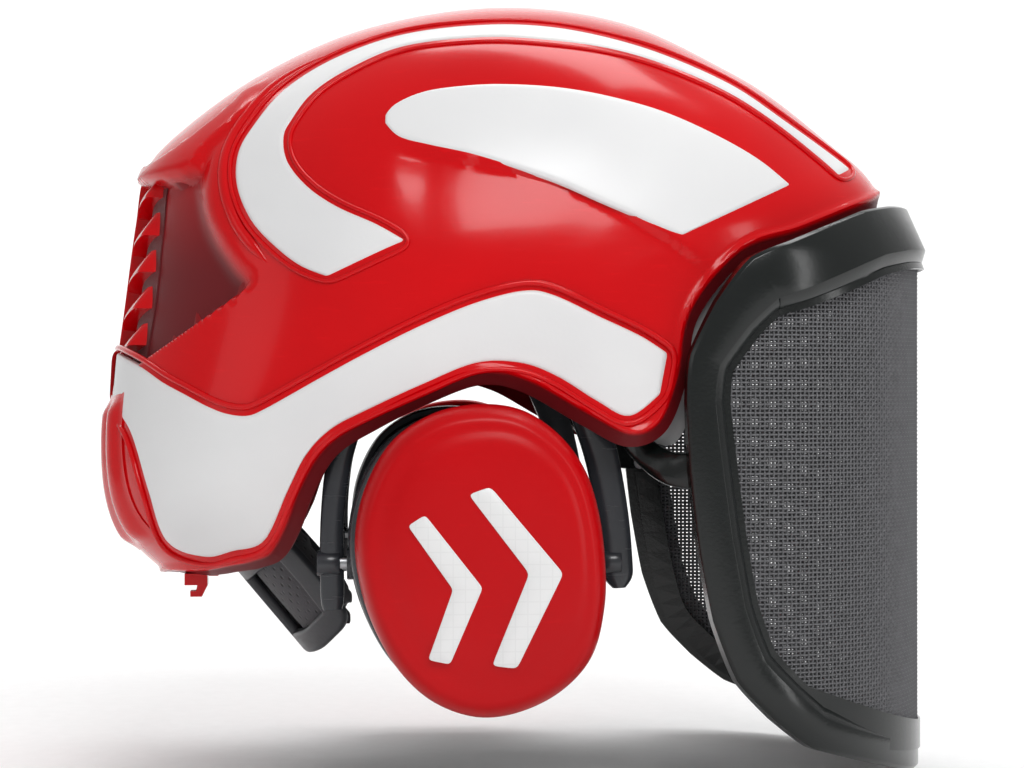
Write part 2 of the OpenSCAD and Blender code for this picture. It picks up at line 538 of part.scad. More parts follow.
wall = 2.5;
cup_pin_y = cup_back_y + 1;
cup_pin_z = -60;
cup_pin_r = 2.5;
module cup_shell(side) color(FRAME_BLACK) difference() {
    union() {
        side_plate(cup_pts(BACK_SCALE, back_shift), side * cup_back_y, side * cap_base_y);
        bar_x(16, 22.5, side * cup_pin_y, cup_pin_z, 5.5);
        bar_x(-60.4, -57, side * cup_pin_y, cup_pin_z, 5.5);
    }
    side_plate(cup_pts(BACK_SCALE - 2 * wall / 90, back_shift), side * (cup_back_y - 1),
        side * (cap_base_y - wall));
    bar_x(-80, 40, side * cup_pin_y, cup_pin_z, cup_pin_r + RUNNING);
}
module cup_shell_right() cup_shell(-1);
module cup_shell_left() cup_shell(1);
module cup_foam(side) color(PAD_BLACK) side_plate(cup_pts(BACK_SCALE - 0.12, back_shift),
    side * (cap_base_y - wall - 8), side * (cap_base_y - wall - 0.2));
module cup_foam_right() cup_foam(-1);
module cup_foam_left() cup_foam(1);
module ear_cushion(side) color(PAD_BLACK) difference() {
    side_plate(cup_pts(BACK_SCALE - 0.05, back_shift), side * (cup_back_y - 8), side * cup_back_y);
    side_plate(cup_pts(0.55, back_shift), side * (cup_back_y - 9), side * (cup_back_y + 1));
}
module ear_cushion_right() ear_cushion(-1);
module ear_cushion_left() ear_cushion(1);

// The yoke is a fork with one leg before and one behind the cup, on a hinge under the shell.
yoke_y = cup_pin_y;
YOKE_T = 3;
hinge_y = 86;
hinge_r = 2;
front_leg = [[8, 15], [17, -2], [24, -20], [29, -42], [31, -66]];
rear_leg = [[-48, 15], [-56, -3], [-62.5, -24], [-65.2, -46], [-65.2, -74]];
// Height of the cross plate, which passes over the barrel of the bracket
cross_z = [10.2, 17];
module yoke(side) color(FRAME_BLACK) difference() {
    union() {
        for (leg = [front_leg, rear_leg]) side_plate(strap_outline(leg, leg == front_leg ? 11 : 8),
            side * (yoke_y - YOKE_T / 2), side * (yoke_y + YOKE_T / 2));
        translate([-50, side * yoke_y - YOKE_T / 2, cross_z[0]])
            cube([60, YOKE_T, cross_z[1] - cross_z[0]]);
        for (x = [-38, -3.6]) translate([x, side * yoke_y - YOKE_T / 2, yoke_hinge_z])
            cube([7.6, YOKE_T, cross_z[0] - yoke_hinge_z + 1]);
        bar_x(25.6, 32, side * cup_pin_y, cup_pin_z, 4.2);
        bar_x(-70.5, -62.4, side * cup_pin_y, cup_pin_z, 4.2);
        bar_x(-38, -30.4, side * hinge_y, yoke_hinge_z, 4.4);
        bar_x(-3.6, 4, side * hinge_y, yoke_hinge_z, 4.4);
    }
    bar_x(-80, 40, side * hinge_y, yoke_hinge_z, hinge_r + RUNNING);
    bar_x(-70, 31, side * cup_pin_y, cup_pin_z, cup_pin_r);
}
module yoke_right() yoke(-1);
module yoke_left() yoke(1);
module yoke_bracket(side) color(BASKET_GREY) difference() {
    union() {
        bar_x(-30, -4, side * hinge_y, yoke_hinge_z, 4.4);
        translate([-30, side > 0 ? hinge_y : -hinge_y - 14, yoke_hinge_z + 1]) cube([26, 14, 3.4]);
    }
    bar_x(-80, 40, side * hinge_y, yoke_hinge_z, hinge_r);
}
module yoke_bracket_right() yoke_bracket(-1);
module yoke_bracket_left() yoke_bracket(1);
module yoke_hinge_pin(side) color(STEEL) bar_x(-39, 5, side * hinge_y, yoke_hinge_z, hinge_r);
module yoke_hinge_pin_right() yoke_hinge_pin(-1);
module yoke_hinge_pin_left() yoke_hinge_pin(1);
module cup_pivot_pins(side) color(STEEL) {
    bar_x(19.5, 31, side * cup_pin_y, cup_pin_z, cup_pin_r);
    bar_x(-70, -58, side * cup_pin_y, cup_pin_z, cup_pin_r);
}
module cup_pivot_pins_right() cup_pivot_pins(-1);
module cup_pivot_pins_left() cup_pivot_pins(1);

outer_shell();
inner_shell();
shell_spacers();
shell_screws();
side_band_right();
side_band_left();
crown_stripe_right();
crown_stripe_left();
blade_panel_right();
blade_panel_left();
rear_vent_panel();
vent_louvres();
rear_bumper();
cape_hooks();
headband();
brow_pad();
basket_clips();
crown_straps();
crown_pad();
nape_cradle();
nape_pad();
nape_stays();
ratchet_housing();
ratchet_knob();
ratchet_pinion();
adjuster_rack_right();
adjuster_rack_left();
visor_pivot_pins();
visor_arm_right();
visor_arm_left();
visor_frame();
visor_mesh();
mesh_retainer();
bottom_guard();
visor_arm_screws();
yoke_bracket_right();
yoke_bracket_left();
yoke_hinge_pin_right();
yoke_hinge_pin_left();
yoke_right();
yoke_left();
cup_pivot_pins_right();
cup_pivot_pins_left();
cup_shell_right();
cup_shell_left();
cup_cap_right();
cup_cap_left();
chevrons_right();
chevrons_left();
cup_foam_right();
cup_foam_left();
ear_cushion_right();
ear_cushion_left();
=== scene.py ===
"""Forestry helmet: finished surfaces, padding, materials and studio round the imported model."""

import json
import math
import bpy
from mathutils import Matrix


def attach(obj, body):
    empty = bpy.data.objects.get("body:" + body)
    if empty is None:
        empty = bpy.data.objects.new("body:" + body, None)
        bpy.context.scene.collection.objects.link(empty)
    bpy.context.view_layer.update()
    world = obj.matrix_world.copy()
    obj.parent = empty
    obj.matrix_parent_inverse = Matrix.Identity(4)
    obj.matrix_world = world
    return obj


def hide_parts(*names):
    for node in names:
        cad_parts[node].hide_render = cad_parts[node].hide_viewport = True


bl_info = {
    "name": "Forestry Helmet",
    "version": (1, 0, 0),
    "blender": (4, 5, 0),
    "location": "View3D > Sidebar > Helmet",
    "description": "Builds the visible surfaces of a forestry helmet round its working frame",
    "category": "Object",
}

import bpy
import mathutils
import numpy as np

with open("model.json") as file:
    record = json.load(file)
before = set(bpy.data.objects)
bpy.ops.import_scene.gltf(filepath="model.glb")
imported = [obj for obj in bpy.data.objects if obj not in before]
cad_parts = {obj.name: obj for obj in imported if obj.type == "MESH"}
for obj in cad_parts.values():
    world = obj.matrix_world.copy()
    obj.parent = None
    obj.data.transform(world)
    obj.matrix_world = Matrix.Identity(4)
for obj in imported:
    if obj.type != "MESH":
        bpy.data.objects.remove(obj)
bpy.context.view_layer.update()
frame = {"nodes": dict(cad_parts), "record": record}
MM = 0.001
SIDES = (("right", -1), ("left", 1))


# ---- lines ------------------------------------------------------------------------------------
def curve_at(points, s, closed=False):
    """Catmull-Rom curve: at s = i + t the cubic between points i and i + 1, whose slope at each
    point is half the step from the point before it to the one after."""
    p = np.asarray(points, float)
    n = len(p)
    i = np.floor(s).astype(int) if closed else np.clip(np.floor(s).astype(int), 0, n - 2)
    t = (s - i)[:, None]
    k = [(i + j) % n if closed else np.clip(i + j, 0, n - 1) for j in (-1, 0, 1, 2)]
    a, b, c, d = (p[j] for j in k)
    return 0.5 * (2 * b + (c - a) * t + (2 * a - 5 * b + 4 * c - d) * t**2
                  + (3 * b - a - 3 * c + d) * t**3)


def curve(points, per=8, closed=False):
    """The same curve in equal steps of s, per steps between each two points."""
    n = len(points)
    s = np.arange(n * per) / per if closed else np.linspace(0, n - 1, (n - 1) * per + 1)
    return curve_at(points, s, closed)


def spaced(line, n, closed=False):
    """n points at equal distances along a line of points."""
    line = np.asarray(line, float)
    if closed:
        line = np.vstack([line, line[:1]])
    run = np.r_[0, np.cumsum(np.linalg.norm(np.diff(line, axis=0), axis=1))]
    s = np.linspace(0, run[-1], n + 1)[:-1] if closed else np.linspace(0, run[-1], n)
    return np.stack([np.interp(s, run, line[:, k]) for k in range(line.shape[1])], 1)


def eased(line, passes=2):
    """A closed line with its corners rounded: each point becomes the mean of itself and its
    neighbours, several times over."""
    for _ in range(passes):
        line = (np.roll(line, 1, 0) + 2 * line + np.roll(line, -1, 0)) / 4
    return line


def grown(line, by):
    """A closed flat line moved outwards along its own normals by a distance."""
    step = np.roll(line, -1, 0) - np.roll(line, 1, 0)
    area = np.sum(line[:, 0] * np.roll(line[:, 1], -1) - line[:, 1] * np.roll(line[:, 0], -1))
    out = np.stack([step[:, 1], -step[:, 0]], 1) * np.sign(area)
    return line + by * out / np.linalg.norm(out, axis=1, keepdims=True)


def smooth(t):
    """Eases from 0 to 1 as t goes from 0 to 1: 3t^2 - 2t^3."""
    t = np.clip(t, 0, 1)
    return t * t * (3 - 2 * t)


def unit(v):
    """Vectors divided by their length."""
    return v / np.maximum(np.linalg.norm(v, axis=-1, keepdims=True), 1e-12)


def left_of(p, line):
    """Distance from side-view points to a line, positive on the line's left."""
    line = np.asarray(line, float)
    ab = line[1:] - line[:-1]
    ap = p[:, None] - line[None, :-1]
    t = np.clip((ap * ab).sum(-1) / (ab**2).sum(-1), 0, 1)
    far = np.linalg.norm(ap - t[..., None] * ab, axis=-1)
    k, i = far.argmin(1), np.arange(len(p))
    turn = ab[k, 0] * ap[i, k, 1] - ab[k, 1] * ap[i, k, 0]
    return far[i, k] * np.sign(turn)


# ---- meshes -----------------------------------------------------------------------------------
def lattice(p, wrap_u=False, wrap_v=False):
    """Points on a grid of u rows and v columns as vertices and four-cornered faces."""
    i = np.arange(p.shape[0] * p.shape[1]).reshape(p.shape[:2])
    if wrap_u:
        i = np.vstack([i, i[:1]])
    if wrap_v:
        i = np.hstack([i, i[:, :1]])
    f = np.stack([i[:-1, :-1], i[:-1, 1:], i[1:, 1:], i[1:, :-1]], -1).reshape(-1, 4)
    return p.reshape(-1, 3), f.tolist()


def outward(v, f):
    """Turns a closed form's faces round if the volume they enclose comes out negative."""
    q = np.array([g for g in f if len(g) == 4] or np.zeros((0, 4), int))
    t = [q[:, [0, 1, 2]], q[:, [0, 2, 3]]]
    t += [np.array([[g[0], g[k], g[k + 1]] for k in range(1, len(g) - 1)])
          for g in f if len(g) != 4]
    t = np.vstack([x for x in t if len(x)])
    volume = np.einsum("ij,ij->i", v[t[:, 0]], np.cross(v[t[:, 1]], v[t[:, 2]])).sum()
    return (v, [g[::-1] for g in f]) if volume < 0 else (v, f)


def tube(p, loop=False):
    """Closed form through rings of points: rows of p are rings, and its ends meet or are capped."""
    v, f = lattice(p, loop, True)
    if not loop:
        n = p.shape[1]
        f += [list(range(n)), list(range(len(v) - 1, len(v) - n - 1, -1))]
        f[-2] = f[-2][::-1]
        f[-1] = f[-1][::-1]
    return outward(v, f)


def plate(front, back):
    """Closed plate between two grids of one size, with a strip round their edges."""
    n = front.shape[0] * front.shape[1]
    v, f = lattice(front)
    i = np.arange(n).reshape(front.shape[:2])
    rim = np.r_[i[0, :-1], i[:-1, -1], i[-1, :0:-1], i[:0:-1, 0]]
    ahead = np.roll(rim, -1)
    f = f + [[a + n for a in g[::-1]] for g in f]
    f += np.stack([ahead, rim, rim + n, ahead + n], 1).tolist()
    return outward(np.vstack([v, back.reshape(-1, 3)]), f)


def carried(path, across, out, section, loop=False):
    """A section carried along a path: each point of it is path + across * a + out * b."""
    s = np.asarray(section, float)
    s = np.broadcast_to(s, (len(path),) + s.shape[-2:])
    return tube(path[:, None] + across[:, None] * s[..., :1] + out[:, None] * s[..., 1:], loop)


def round_bar(path, out, r, sides=12, loop=False, flat=1.0):
    """Round bar along a path; r may change along it, and flat is its height over its width."""
    if loop:
        along = unit(np.roll(path, -1, 0) - np.roll(path, 1, 0))
    else:
        along = unit(np.gradient(path, axis=0))
    across = unit(np.cross(along, out))
    a = np.arange(sides) * 2 * np.pi / sides
    r = np.broadcast_to(np.asarray(r, float), (len(path),))[:, None, None]
    section = r * np.stack([np.cos(a), flat * np.sin(a)], 1)[None]
    return carried(path, across, out, section, loop)


def box_section(w, t, r, per=3):
    """Rectangle w by t with its corners rounded at radius r."""
    a = np.linspace(0, np.pi / 2, per + 1)
    corner = np.stack([np.cos(a), np.sin(a)], 1) * r
    turns = [(w / 2 - r, t / 2 - r, 0), (-w / 2 + r, t / 2 - r, 1),
             (-w / 2 + r, -t / 2 + r, 2), (w / 2 - r, -t / 2 + r, 3)]
    spin = [np.array([[1, 0], [0, 1]]), np.array([[0, 1], [-1, 0]]),
            np.array([[-1, 0], [0, -1]]), np.array([[0, -1], [1, 0]])]
    return np.vstack([corner @ spin[k] + [x, y] for x, y, k in turns])


def disc(centre, axis, profile, n=48, lobes=0, depth=0.0):
    """Turned form: profile gives [distance along the axis, radius], and lobes ripple the rim."""
    axis = unit(np.asarray(axis, float))
    a = np.arange(n) * 2 * np.pi / n
    u = unit(np.cross(axis, [0.3, 0.2, 1.0]))
    w = np.cross(axis, u)
    ring = np.cos(a)[:, None] * u + np.sin(a)[:, None] * w
    prof = np.asarray(profile, float)
    r = prof[:, 1, None] + depth * np.cos(lobes * a)[None] * (prof[:, 1] > depth * 4)[:, None]
    return tube(np.asarray(centre, float) + axis * prof[:, None, :1] + ring[None] * r[..., None])


def piece(name, parts, skin, body, replaces=(), crisp=None, uv=None, shade_and_matt=None):
    """Joins closed forms given in millimetres into one object that rides on a body. crisp is the
    angle past which an edge stays sharp, uv holds each vertex's place on the cloth in metres, and
    the last holds each vertex's share of painted shade and of a matt finish."""
    counts = np.cumsum([0] + [len(v) for v, _ in parts])
    faces = [[a + k for a in g] for (_, f), k in zip(parts, counts.tolist()) for g in f]
    mesh = bpy.data.meshes.new(name)
    mesh.from_pydata((np.vstack([v for v, _ in parts]) * MM).tolist(), [], faces)
    mesh.polygons.foreach_set("use_smooth", [True] * len(faces))
    if crisp:
        mesh.set_sharp_from_angle(angle=math.radians(crisp))
    if uv is not None:
        corner = np.zeros(len(mesh.loops), int)
        mesh.loops.foreach_get("vertex_index", corner)
        mesh.uv_layers.new(name="Cloth").data.foreach_set("uv", uv[corner].ravel())
    # Share of painted shade and matt finish per vertex, read by the shell's material
    if shade_and_matt is not None:
        mesh.attributes.new("PaintedShadeAndMatt", "FLOAT", "POINT").data.foreach_set("value", shade_and_matt)
    mesh.materials.append(skin)
    made = bpy.data.objects.new(name, mesh)
    bpy.context.scene.collection.objects.link(made)
    settle(made, body, replaces)
    return made


def settle(made, body, replaces):
    """Rides the piece on its body, and hides the nodes that it replaces."""
    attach(made, body)
    if replaces:
        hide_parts(*replaces)


# ---- the shell's skin -------------------------------------------------------------------------
SKIN_CENTRE = np.array([-8.0, 20.0])
SHELL_HALF_W = 104.0
SIDE_OUTLINE = [(137, 66), (129, 78), (117, 88), (97, 104), (79, 115), (45, 131), (11, 137.5),
                (-23, 136.5), (-60, 128), (-93, 112.5), (-119, 94), (-134, 78), (-138, 58),
                (-142, 28), (-145, 5), (-147, -20), (-145, -42), (-138, -57), (-122, -72),
                (-80, -110), (-20, -150), (60, -150), (120, -100), (146, -30), (148, 20),
                (143, 50)]


def turn_of(p):
    """Angle of side-view points about the skin's centre, in degrees from -90 to 270."""
    a = np.degrees(np.arctan2(p[..., 1] - SKIN_CENTRE[1], p[..., 0] - SKIN_CENTRE[0]))
    return np.where(a < -90, a + 360, a)


_OUTLINE = curve(SIDE_OUTLINE, 16, True)
_BY_TURN = np.argsort(turn_of(_OUTLINE))
REACH_TURN = turn_of(_OUTLINE)[_BY_TURN]
REACH_R = np.linalg.norm(_OUTLINE - SKIN_CENTRE, axis=1)[_BY_TURN]


def reach(turn):
    """Distance from the skin's centre to the side outline at a turn."""
    return np.interp(turn, REACH_TURN, REACH_R, period=360)


def fullness(z):
    """Exponent of the skin's superellipse: rounder at the crown, squarer at the rim."""
    return 2.15 + 0.5 * smooth((40 - z) / 90)


def half_width(p, less=0.0):
    """Half width at side-view points: W (1 - q^n)^(1/n), q the share of the way out to the
    outline. less shrinks the whole form by that distance."""
    n = fullness(p[..., 1])
    q = np.linalg.norm(p - SKIN_CENTRE, axis=-1) / (reach(turn_of(p)) - less)
    return (SHELL_HALF_W - less) * (1 - np.clip(q, 0, 1)**n)**(1 / n)


def skin_level(p):
    """(|y| / half width)^n + (distance from the centre / reach)^n: 1 on the skin, less
    inside it."""
    flat = p[..., [0, 2]]
    n = fullness(p[..., 2])
    q = np.linalg.norm(flat - SKIN_CENTRE, axis=-1) / reach(turn_of(flat))
    return (np.abs(p[..., 1]) / SHELL_HALF_W)**n + q**n


def skin_normal(p):
    """Outward direction of the skin, from its level's slope along each axis."""
    e = np.eye(3) * 0.4
    return unit(np.stack([skin_level(p + e[k]) - skin_level(p - e[k]) for k in range(3)], -1))


def along_skin(line, n):
    """n side-view points at equal distances along the skin itself, which a line near the outline
    follows round the back."""
    line = spaced(line, 900)
    solid = on_skin(line, 1)
    run = np.r_[0, np.cumsum(np.linalg.norm(np.diff(solid, axis=0), axis=1))]
    at = np.linspace(0, run[-1], n)
    return np.stack([np.interp(at, run, line[:, k]) for k in (0, 1)], 1)


def on_skin(flat, side, lift=0.0):
    """Side-view points put on one side of the skin, lifted along its normal."""
    p = np.stack([flat[..., 0], side * half_width(flat), flat[..., 1]], -1)
    return p + skin_normal(p) * np.asarray(lift)[..., None]


def skin_back(turn, y, lift=0.0):
    """The skin at a turn about its centre and a distance y from the centre plane."""
    turn, y = np.broadcast_arrays(np.asarray(turn, float), np.asarray(y, float))
    d = np.stack([np.cos(np.radians(turn)), np.sin(np.radians(turn))], -1)
    far = reach(turn)
    n = fullness(SKIN_CENTRE[1] + far * d[..., 1])
    r = far * (1 - (np.abs(y) / SHELL_HALF_W)**n)**(1 / n)
    flat = SKIN_CENTRE + d * r[..., None]
    p = np.stack([flat[..., 0], y, flat[..., 1]], -1)
    return p + skin_normal(p) * np.asarray(lift)[..., None]


# ---- outer shell ------------------------------------------------------------------------------
# Turns about the skin's centre along the crown, front to back, and the rim point under each
SHELL_TURNS = [17.6, 23.5, 32, 45, 57, 68, 74.5, 79.5, 85, 91.5, 98, 106.3, 115.7, 124.9, 132.6,
               142.6, 155.3, 168, 176.6, 186.3, 196.1, 204.4, 211, 217.6]
SHELL_RIM = [(135.4, 65), (127, 61), (114, 56), (94, 48), (74, 41), (58, 22), (53.5, 1),
             (46, -16), (33, -21), (17, -13.5), (-2, -3), (-16, -0.5), (-33, -6.5), (-50, -15),
             (-64, -24), (-72, -37), (-77, -50), (-83, -60), (-91, -64), (-99, -66), (-107, -68),
             (-114, -69), (-119, -69.5), (-122.5, -69.8)]
CREASE = [(-52, 80), (-42, 79), (-30, 77.5), (-16, 74.5), (0, 71), (14, 67), (30, 59.5), (46, 50),
          (58, 41.5), (68, 33)]
# The scoop in each rear quarter: its front edge, its foot and the ridge over it
SCOOP_FRONT = [(-84, 104), (-90, 97), (-98, 92), (-103, 86), (-105.5, 75), (-105, 62),
               (-101, 52), (-93, 41), (-84, 34)]
SCOOP_FOOT = [(-80, 40), (-87, 36), (-107, 23), (-128, 9.5), (-150, -4)]
RIDGE_LOW = [(-80, 107), (-88.6, 99.4), (-97.5, 90.7), (-107.7, 81.5), (-117.4, 73.5), (-150, 72)]
RIDGE_HIGH = [(-84, 112), (-97, 103.4), (-101, 98.7), (-112, 89.3), (-123, 81.5), (-131, 78)]
SCOOP_DEEP = 6.0
# The rim's lip: how wide it is, and how far its edge turns in
LIP_WIDE, LIP_DEEP = 4.4, 3.5


def scoop(flat):
    """1 inside the rear scoop and 0 outside: it falls away slowly from its front edge and
    sharply under the ridge and over its foot."""
    return (smooth(-left_of(flat, curve(SCOOP_FRONT, 6)) / 13)
            * smooth(-left_of(flat, curve(SCOOP_FOOT, 4)) / 3.4)
            * smooth(left_of(flat, curve(RIDGE_LOW, 4)) / 1.8))


def shell_relief(flat, edge):
    """Height over the plain skin. edge is the distance from the rim: the lip's width turns in
    under a rolled bead. A soft step runs under the blade panels, and a scoop with a ridge over
    it fills each rear quarter."""
    turned = -LIP_DEEP * (1 - np.clip(edge / LIP_WIDE, 0, 1))
    turned += 1.0 * np.exp(-((edge - 5.6) / 1.1)**2)
    under = -left_of(flat, curve(CREASE, 6))
    step = -2.0 * smooth(under / 1.8) * np.exp(-(np.clip(under, 0, None) / 26)**2)
    step *= smooth((flat[:, 0] + 50) / 18) * smooth((68 - flat[:, 0]) / 16)
    ridge = smooth(-left_of(flat, curve(RIDGE_LOW, 4)) / 1.2) * smooth(
        left_of(flat, curve(RIDGE_HIGH, 4)) / 1.2) * smooth((-flat[:, 0] - 86) / 12)
    return turned + step - SCOOP_DEEP * scoop(flat) + 1.8 * ridge


def painted_shade_and_matt(flat, edge):
    """Share of painted shade, with a matt finish: all of the lip's underside, and the scoops'
    floors, where the share grows towards the foot."""
    low = 0.5 + 0.5 * smooth((84 - flat[:, 1]) / 50)
    return np.maximum(smooth((4.8 - edge) / 1.0), smooth(scoop(flat) * 1.4 - 0.2) * low)


def shell_rows(rows, rim_points, turns, halves, lip, less=0.0):
    """Side-view points from the crown (t = 0) to the rim (t = 1) on each row, closer together at
    the crown, where the skin curls over, in the last lip mm before the rim, and round the rear
    scoops. Returns them with their distances from the rim."""
    s = np.interp(np.linspace(0, 1, rows), [0, 0.32, 0.76, 1],
                  [0, 12, 18.5, len(turns) - 1])
    turn = curve_at(np.asarray(turns, float)[:, None], s)[:, 0]
    rim = curve_at(rim_points, s)
    rad = np.radians(turn)
    top = SKIN_CENTRE + (reach(turn) - less)[:, None] * np.stack([np.cos(rad), np.sin(rad)], 1)
    length = np.linalg.norm(top - rim, axis=1)
    close = len(lip)
    tau = np.linspace(0, 1, halves - close + 1)
    near = np.asarray(lip)[::-1] * np.minimum(1, length / 24)[:, None]
    f = (1 - np.cos(np.pi * tau / 2))**1.1
    away = np.hstack([length[:, None] - f * (length[:, None] - near[:, :1]), near[:, 1:],
                      np.zeros((rows, 1))])
    p = rim[:, None] + unit(top - rim)[:, None] * away[..., None]
    edge = np.abs(left_of(p.reshape(-1, 2), curve(rim_points, 5))).reshape(away.shape)
    return p, edge


def both_halves(p, lift=None, less=0.0):
    """A grid of side-view half rows mirrored over the crown into one sheet."""
    y = half_width(p, less)
    y[:, 0] = 0
    right = np.stack([p[..., 0], -y, p[..., 1]], -1)
    if lift is not None:
        right = right + skin_normal(right) * lift[..., None]
        right[:, 0, 1] = 0
    left = right * [1, -1, 1]
    return np.concatenate([right[:, :0:-1], left], 1)


def two_skins(outer, inner, skip):
    """Closed shell from a fine outer grid and an inner one that keeps every skip-th column. The
    long rims match point for point, and fans close the two ends."""
    v, f = lattice(outer)
    w, g = lattice(inner)
    n, a, b = len(v), outer.shape[1], inner.shape[1]
    f = f + [[k + n for k in q[::-1]] for q in g]
    i = np.arange(len(v)).reshape(outer.shape[:2])
    j = n + np.arange(len(w)).reshape(inner.shape[:2])
    for o, q, back in ((i[:, 0], j[:, 0], 1), (i[:, -1], j[:, -1], -1)):
        f += np.stack([o[:-1], o[1:], q[1:], q[:-1]], 1)[:, ::back].tolist()
    for o, q, back in ((i[0], j[0], -1), (i[-1], j[-1], 1)):
        for k in range(b - 1):
            f.append(([*o[k * skip:(k + 1) * skip + 1], q[k + 1], q[k]])[::back])
    assert (b - 1) * skip == a - 1
    return outward(np.vstack([v, w]), [[int(k) for k in q] for q in f])


def shell_form(rows, halves, skip, wall):
    """Outer shell: the relief over the skin, and the same relief less the wall inside it. The
    wall thins over the lip, so that the arms and yokes pass under it. Also returns each point's
    share of painted shade and matt finish, 0.8 all over the inner face."""
    lip = [0.7, 1.4, 2.1, 2.9, 3.7, 4.4, 5.0, 5.6, 6.2, 6.9, 7.8, 9.0]
    p, edge = shell_rows(rows, SHELL_RIM, SHELL_TURNS, halves, lip)
    lift = shell_relief(p.reshape(-1, 2), edge.reshape(-1)).reshape(edge.shape)
    outer = both_halves(p, lift)
    thin = wall * (0.35 + 0.65 * np.clip(edge / LIP_WIDE, 0, 1))
    inner = both_halves(p[:, ::skip], (lift - thin)[:, ::skip])
    shade_and_matt = painted_shade_and_matt(p.reshape(-1, 2), edge.reshape(-1)).reshape(edge.shape)
    shade_and_matt = np.concatenate([shade_and_matt[:, :0:-1], shade_and_matt], 1)
    return two_skins(outer, inner, skip), np.r_[shade_and_matt.ravel(), np.full(inner.size // 3, 0.8)]


LINER_TURNS = (17, 206)
LINER_RIM = [(125.4, 60.6), (117, 57.5), (106, 53.5), (91, 47), (75, 36), (64, 18), (58, -2),
             (50, -20), (38, -16), (30, 2), (14, 15), (-8, 19), (-34, 19), (-58, 16), (-70, 4),
             (-75, -12), (-78, -25), (-84, -35), (-92, -38.5), (-99, -39), (-106, -39),
             (-113, -39), (-121, -38.8), (-129.4, -38.4)]


def liner_form(gap, wall):
    """Inner shell: the skin shrunk by the gap, and again by the wall."""
    turns = np.linspace(*LINER_TURNS, len(LINER_RIM))
    p, _ = shell_rows(140, LINER_RIM, turns, 44, [0.8, 1.6, 3.0], gap)
    sheets = []
    for less in (gap, gap + wall):
        flat = SKIN_CENTRE + (p - SKIN_CENTRE) * (
            (reach(turn_of(p)) - less) / (reach(turn_of(p)) - gap))[..., None]
        sheets.append(both_halves(flat, less=less))
    return plate(*sheets)


# ---- pressed-in panels ------------------------------------------------------------------------
BAND_UPPER = [(-143.6, 11.5), (-132, 6.5), (-123, 1), (-115, -3), (-107, -7), (-100, -9.5),
              (-93, -10), (-87, -7.5), (-77, -2), (-68, 3), (-54, 10.5), (-36, 19.5), (-18, 27),
              (-2, 31), (8, 29.5), (23, 22.5), (37, 16), (46.5, 10)]
BAND_LOWER = [(-144.6, -7), (-135, -17), (-128, -37), (-122, -55), (-109, -59.5), (-99, -57),
              (-88, -53), (-80, -36), (-74, -24), (-66, -15.5), (-55, -9.5), (-35, -0.5),
              (-18, 6.5), (-3, 6.5), (9, 2), (22, -6), (33, -11), (44, -3)]
STRIPE_OUTER = [(-66, 35), (-76, 39), (-85, 46), (-93, 55), (-98, 67), (-98, 79), (-93, 89),
                (-83, 102), (-66, 113.5), (-42, 122.5), (-14, 126), (10, 125.5), (34, 121),
                (56, 114.5), (76, 106), (94, 94), (110, 83.5), (120, 76)]
STRIPE_INNER = [(-40, 47), (-50, 53), (-63, 59), (-73, 66), (-80, 75), (-81.5, 84), (-79, 90),
                (-72, 100), (-60, 108.5), (-41, 117), (-14, 120), (9, 119), (32, 116), (54, 110),
                (73, 102), (90, 91.5), (105, 80), (113, 72.5)]
BLADE_UPPER = [(-48, 90), (-44, 95), (-34, 99.5), (-20, 101.5), (-6, 102), (12, 101), (30, 98),
               (49, 93), (67.5, 85), (82, 77), (93, 68)]
BLADE_LOWER = [(-48, 88), (-43, 82.5), (-33, 79.5), (-20, 76.5), (-7, 72.5), (9, 67), (24, 60.5),
               (36, 55.5), (45, 51.5), (49.5, 50), (52, 49.5)]


def panel(upper, lower, side, proud, rows, cols=22, ease=1.6):
    """Panel between two lines of the skin. Its edges fall away on a quarter circle of the ease
    radius: height = proud - ease + sqrt(ease^2 - (ease - d)^2), d the distance from the edge."""
    up, low = along_skin(curve(upper), rows), along_skin(curve(lower), rows)
    s = (1 - np.cos(np.pi * np.linspace(0, 1, cols))) / 2
    p = low[:, None] + (up - low)[:, None] * s[None, :, None]
    wide = np.linalg.norm(up - low, axis=1)[:, None] * np.minimum(s, 1 - s)[None]
    run = np.r_[0, np.cumsum(np.linalg.norm(np.diff((up + low) / 2, axis=0), axis=1))]
    ends = np.minimum(run, run[-1] - run)[:, None]
    d = np.minimum(np.minimum(wide, ends), ease)
    lift = proud - ease + np.sqrt(ease**2 - (ease - d)**2)
    return plate(on_skin(p, side, lift), on_skin(p, side, np.full(d.shape, -1.0)))


def border(upper, lower, by, n):
    """Closed side-view line round a panel, moved out by a distance and eased at its corners."""
    line = np.vstack([curve(upper), curve(lower)[::-1]])
    line = eased(spaced(grown(eased(spaced(line, n, True), 3), by), n, True), 2)
    return line


def bead(line, side, r, lift, sides=8, flat=1.0):
    """Half-sunk round bead along a closed line of the skin."""
    path = on_skin(line, side, lift)
    return round_bar(path, skin_normal(path), r, sides, True, flat)


def rear_rib(side):
    """Raised band behind the crown stripe: it widens round the bend and dies out at both ends."""
    line = spaced(curve([(-55, 117), (-69, 115), (-86, 104.5), (-97, 91), (-102, 79), (-102, 67),
                         (-97.5, 54), (-90, 44), (-85, 38.5)], 8), 90)
    grow = smooth(np.linspace(0, 1, 90) * 3) * smooth((1 - np.linspace(0, 1, 90)) * 9)
    path = on_skin(line, side, -0.4)
    return round_bar(path, skin_normal(path), 0.3 + 2.0 * grow, 12, flat=0.75)


VENT_TURNS = (154, 186)


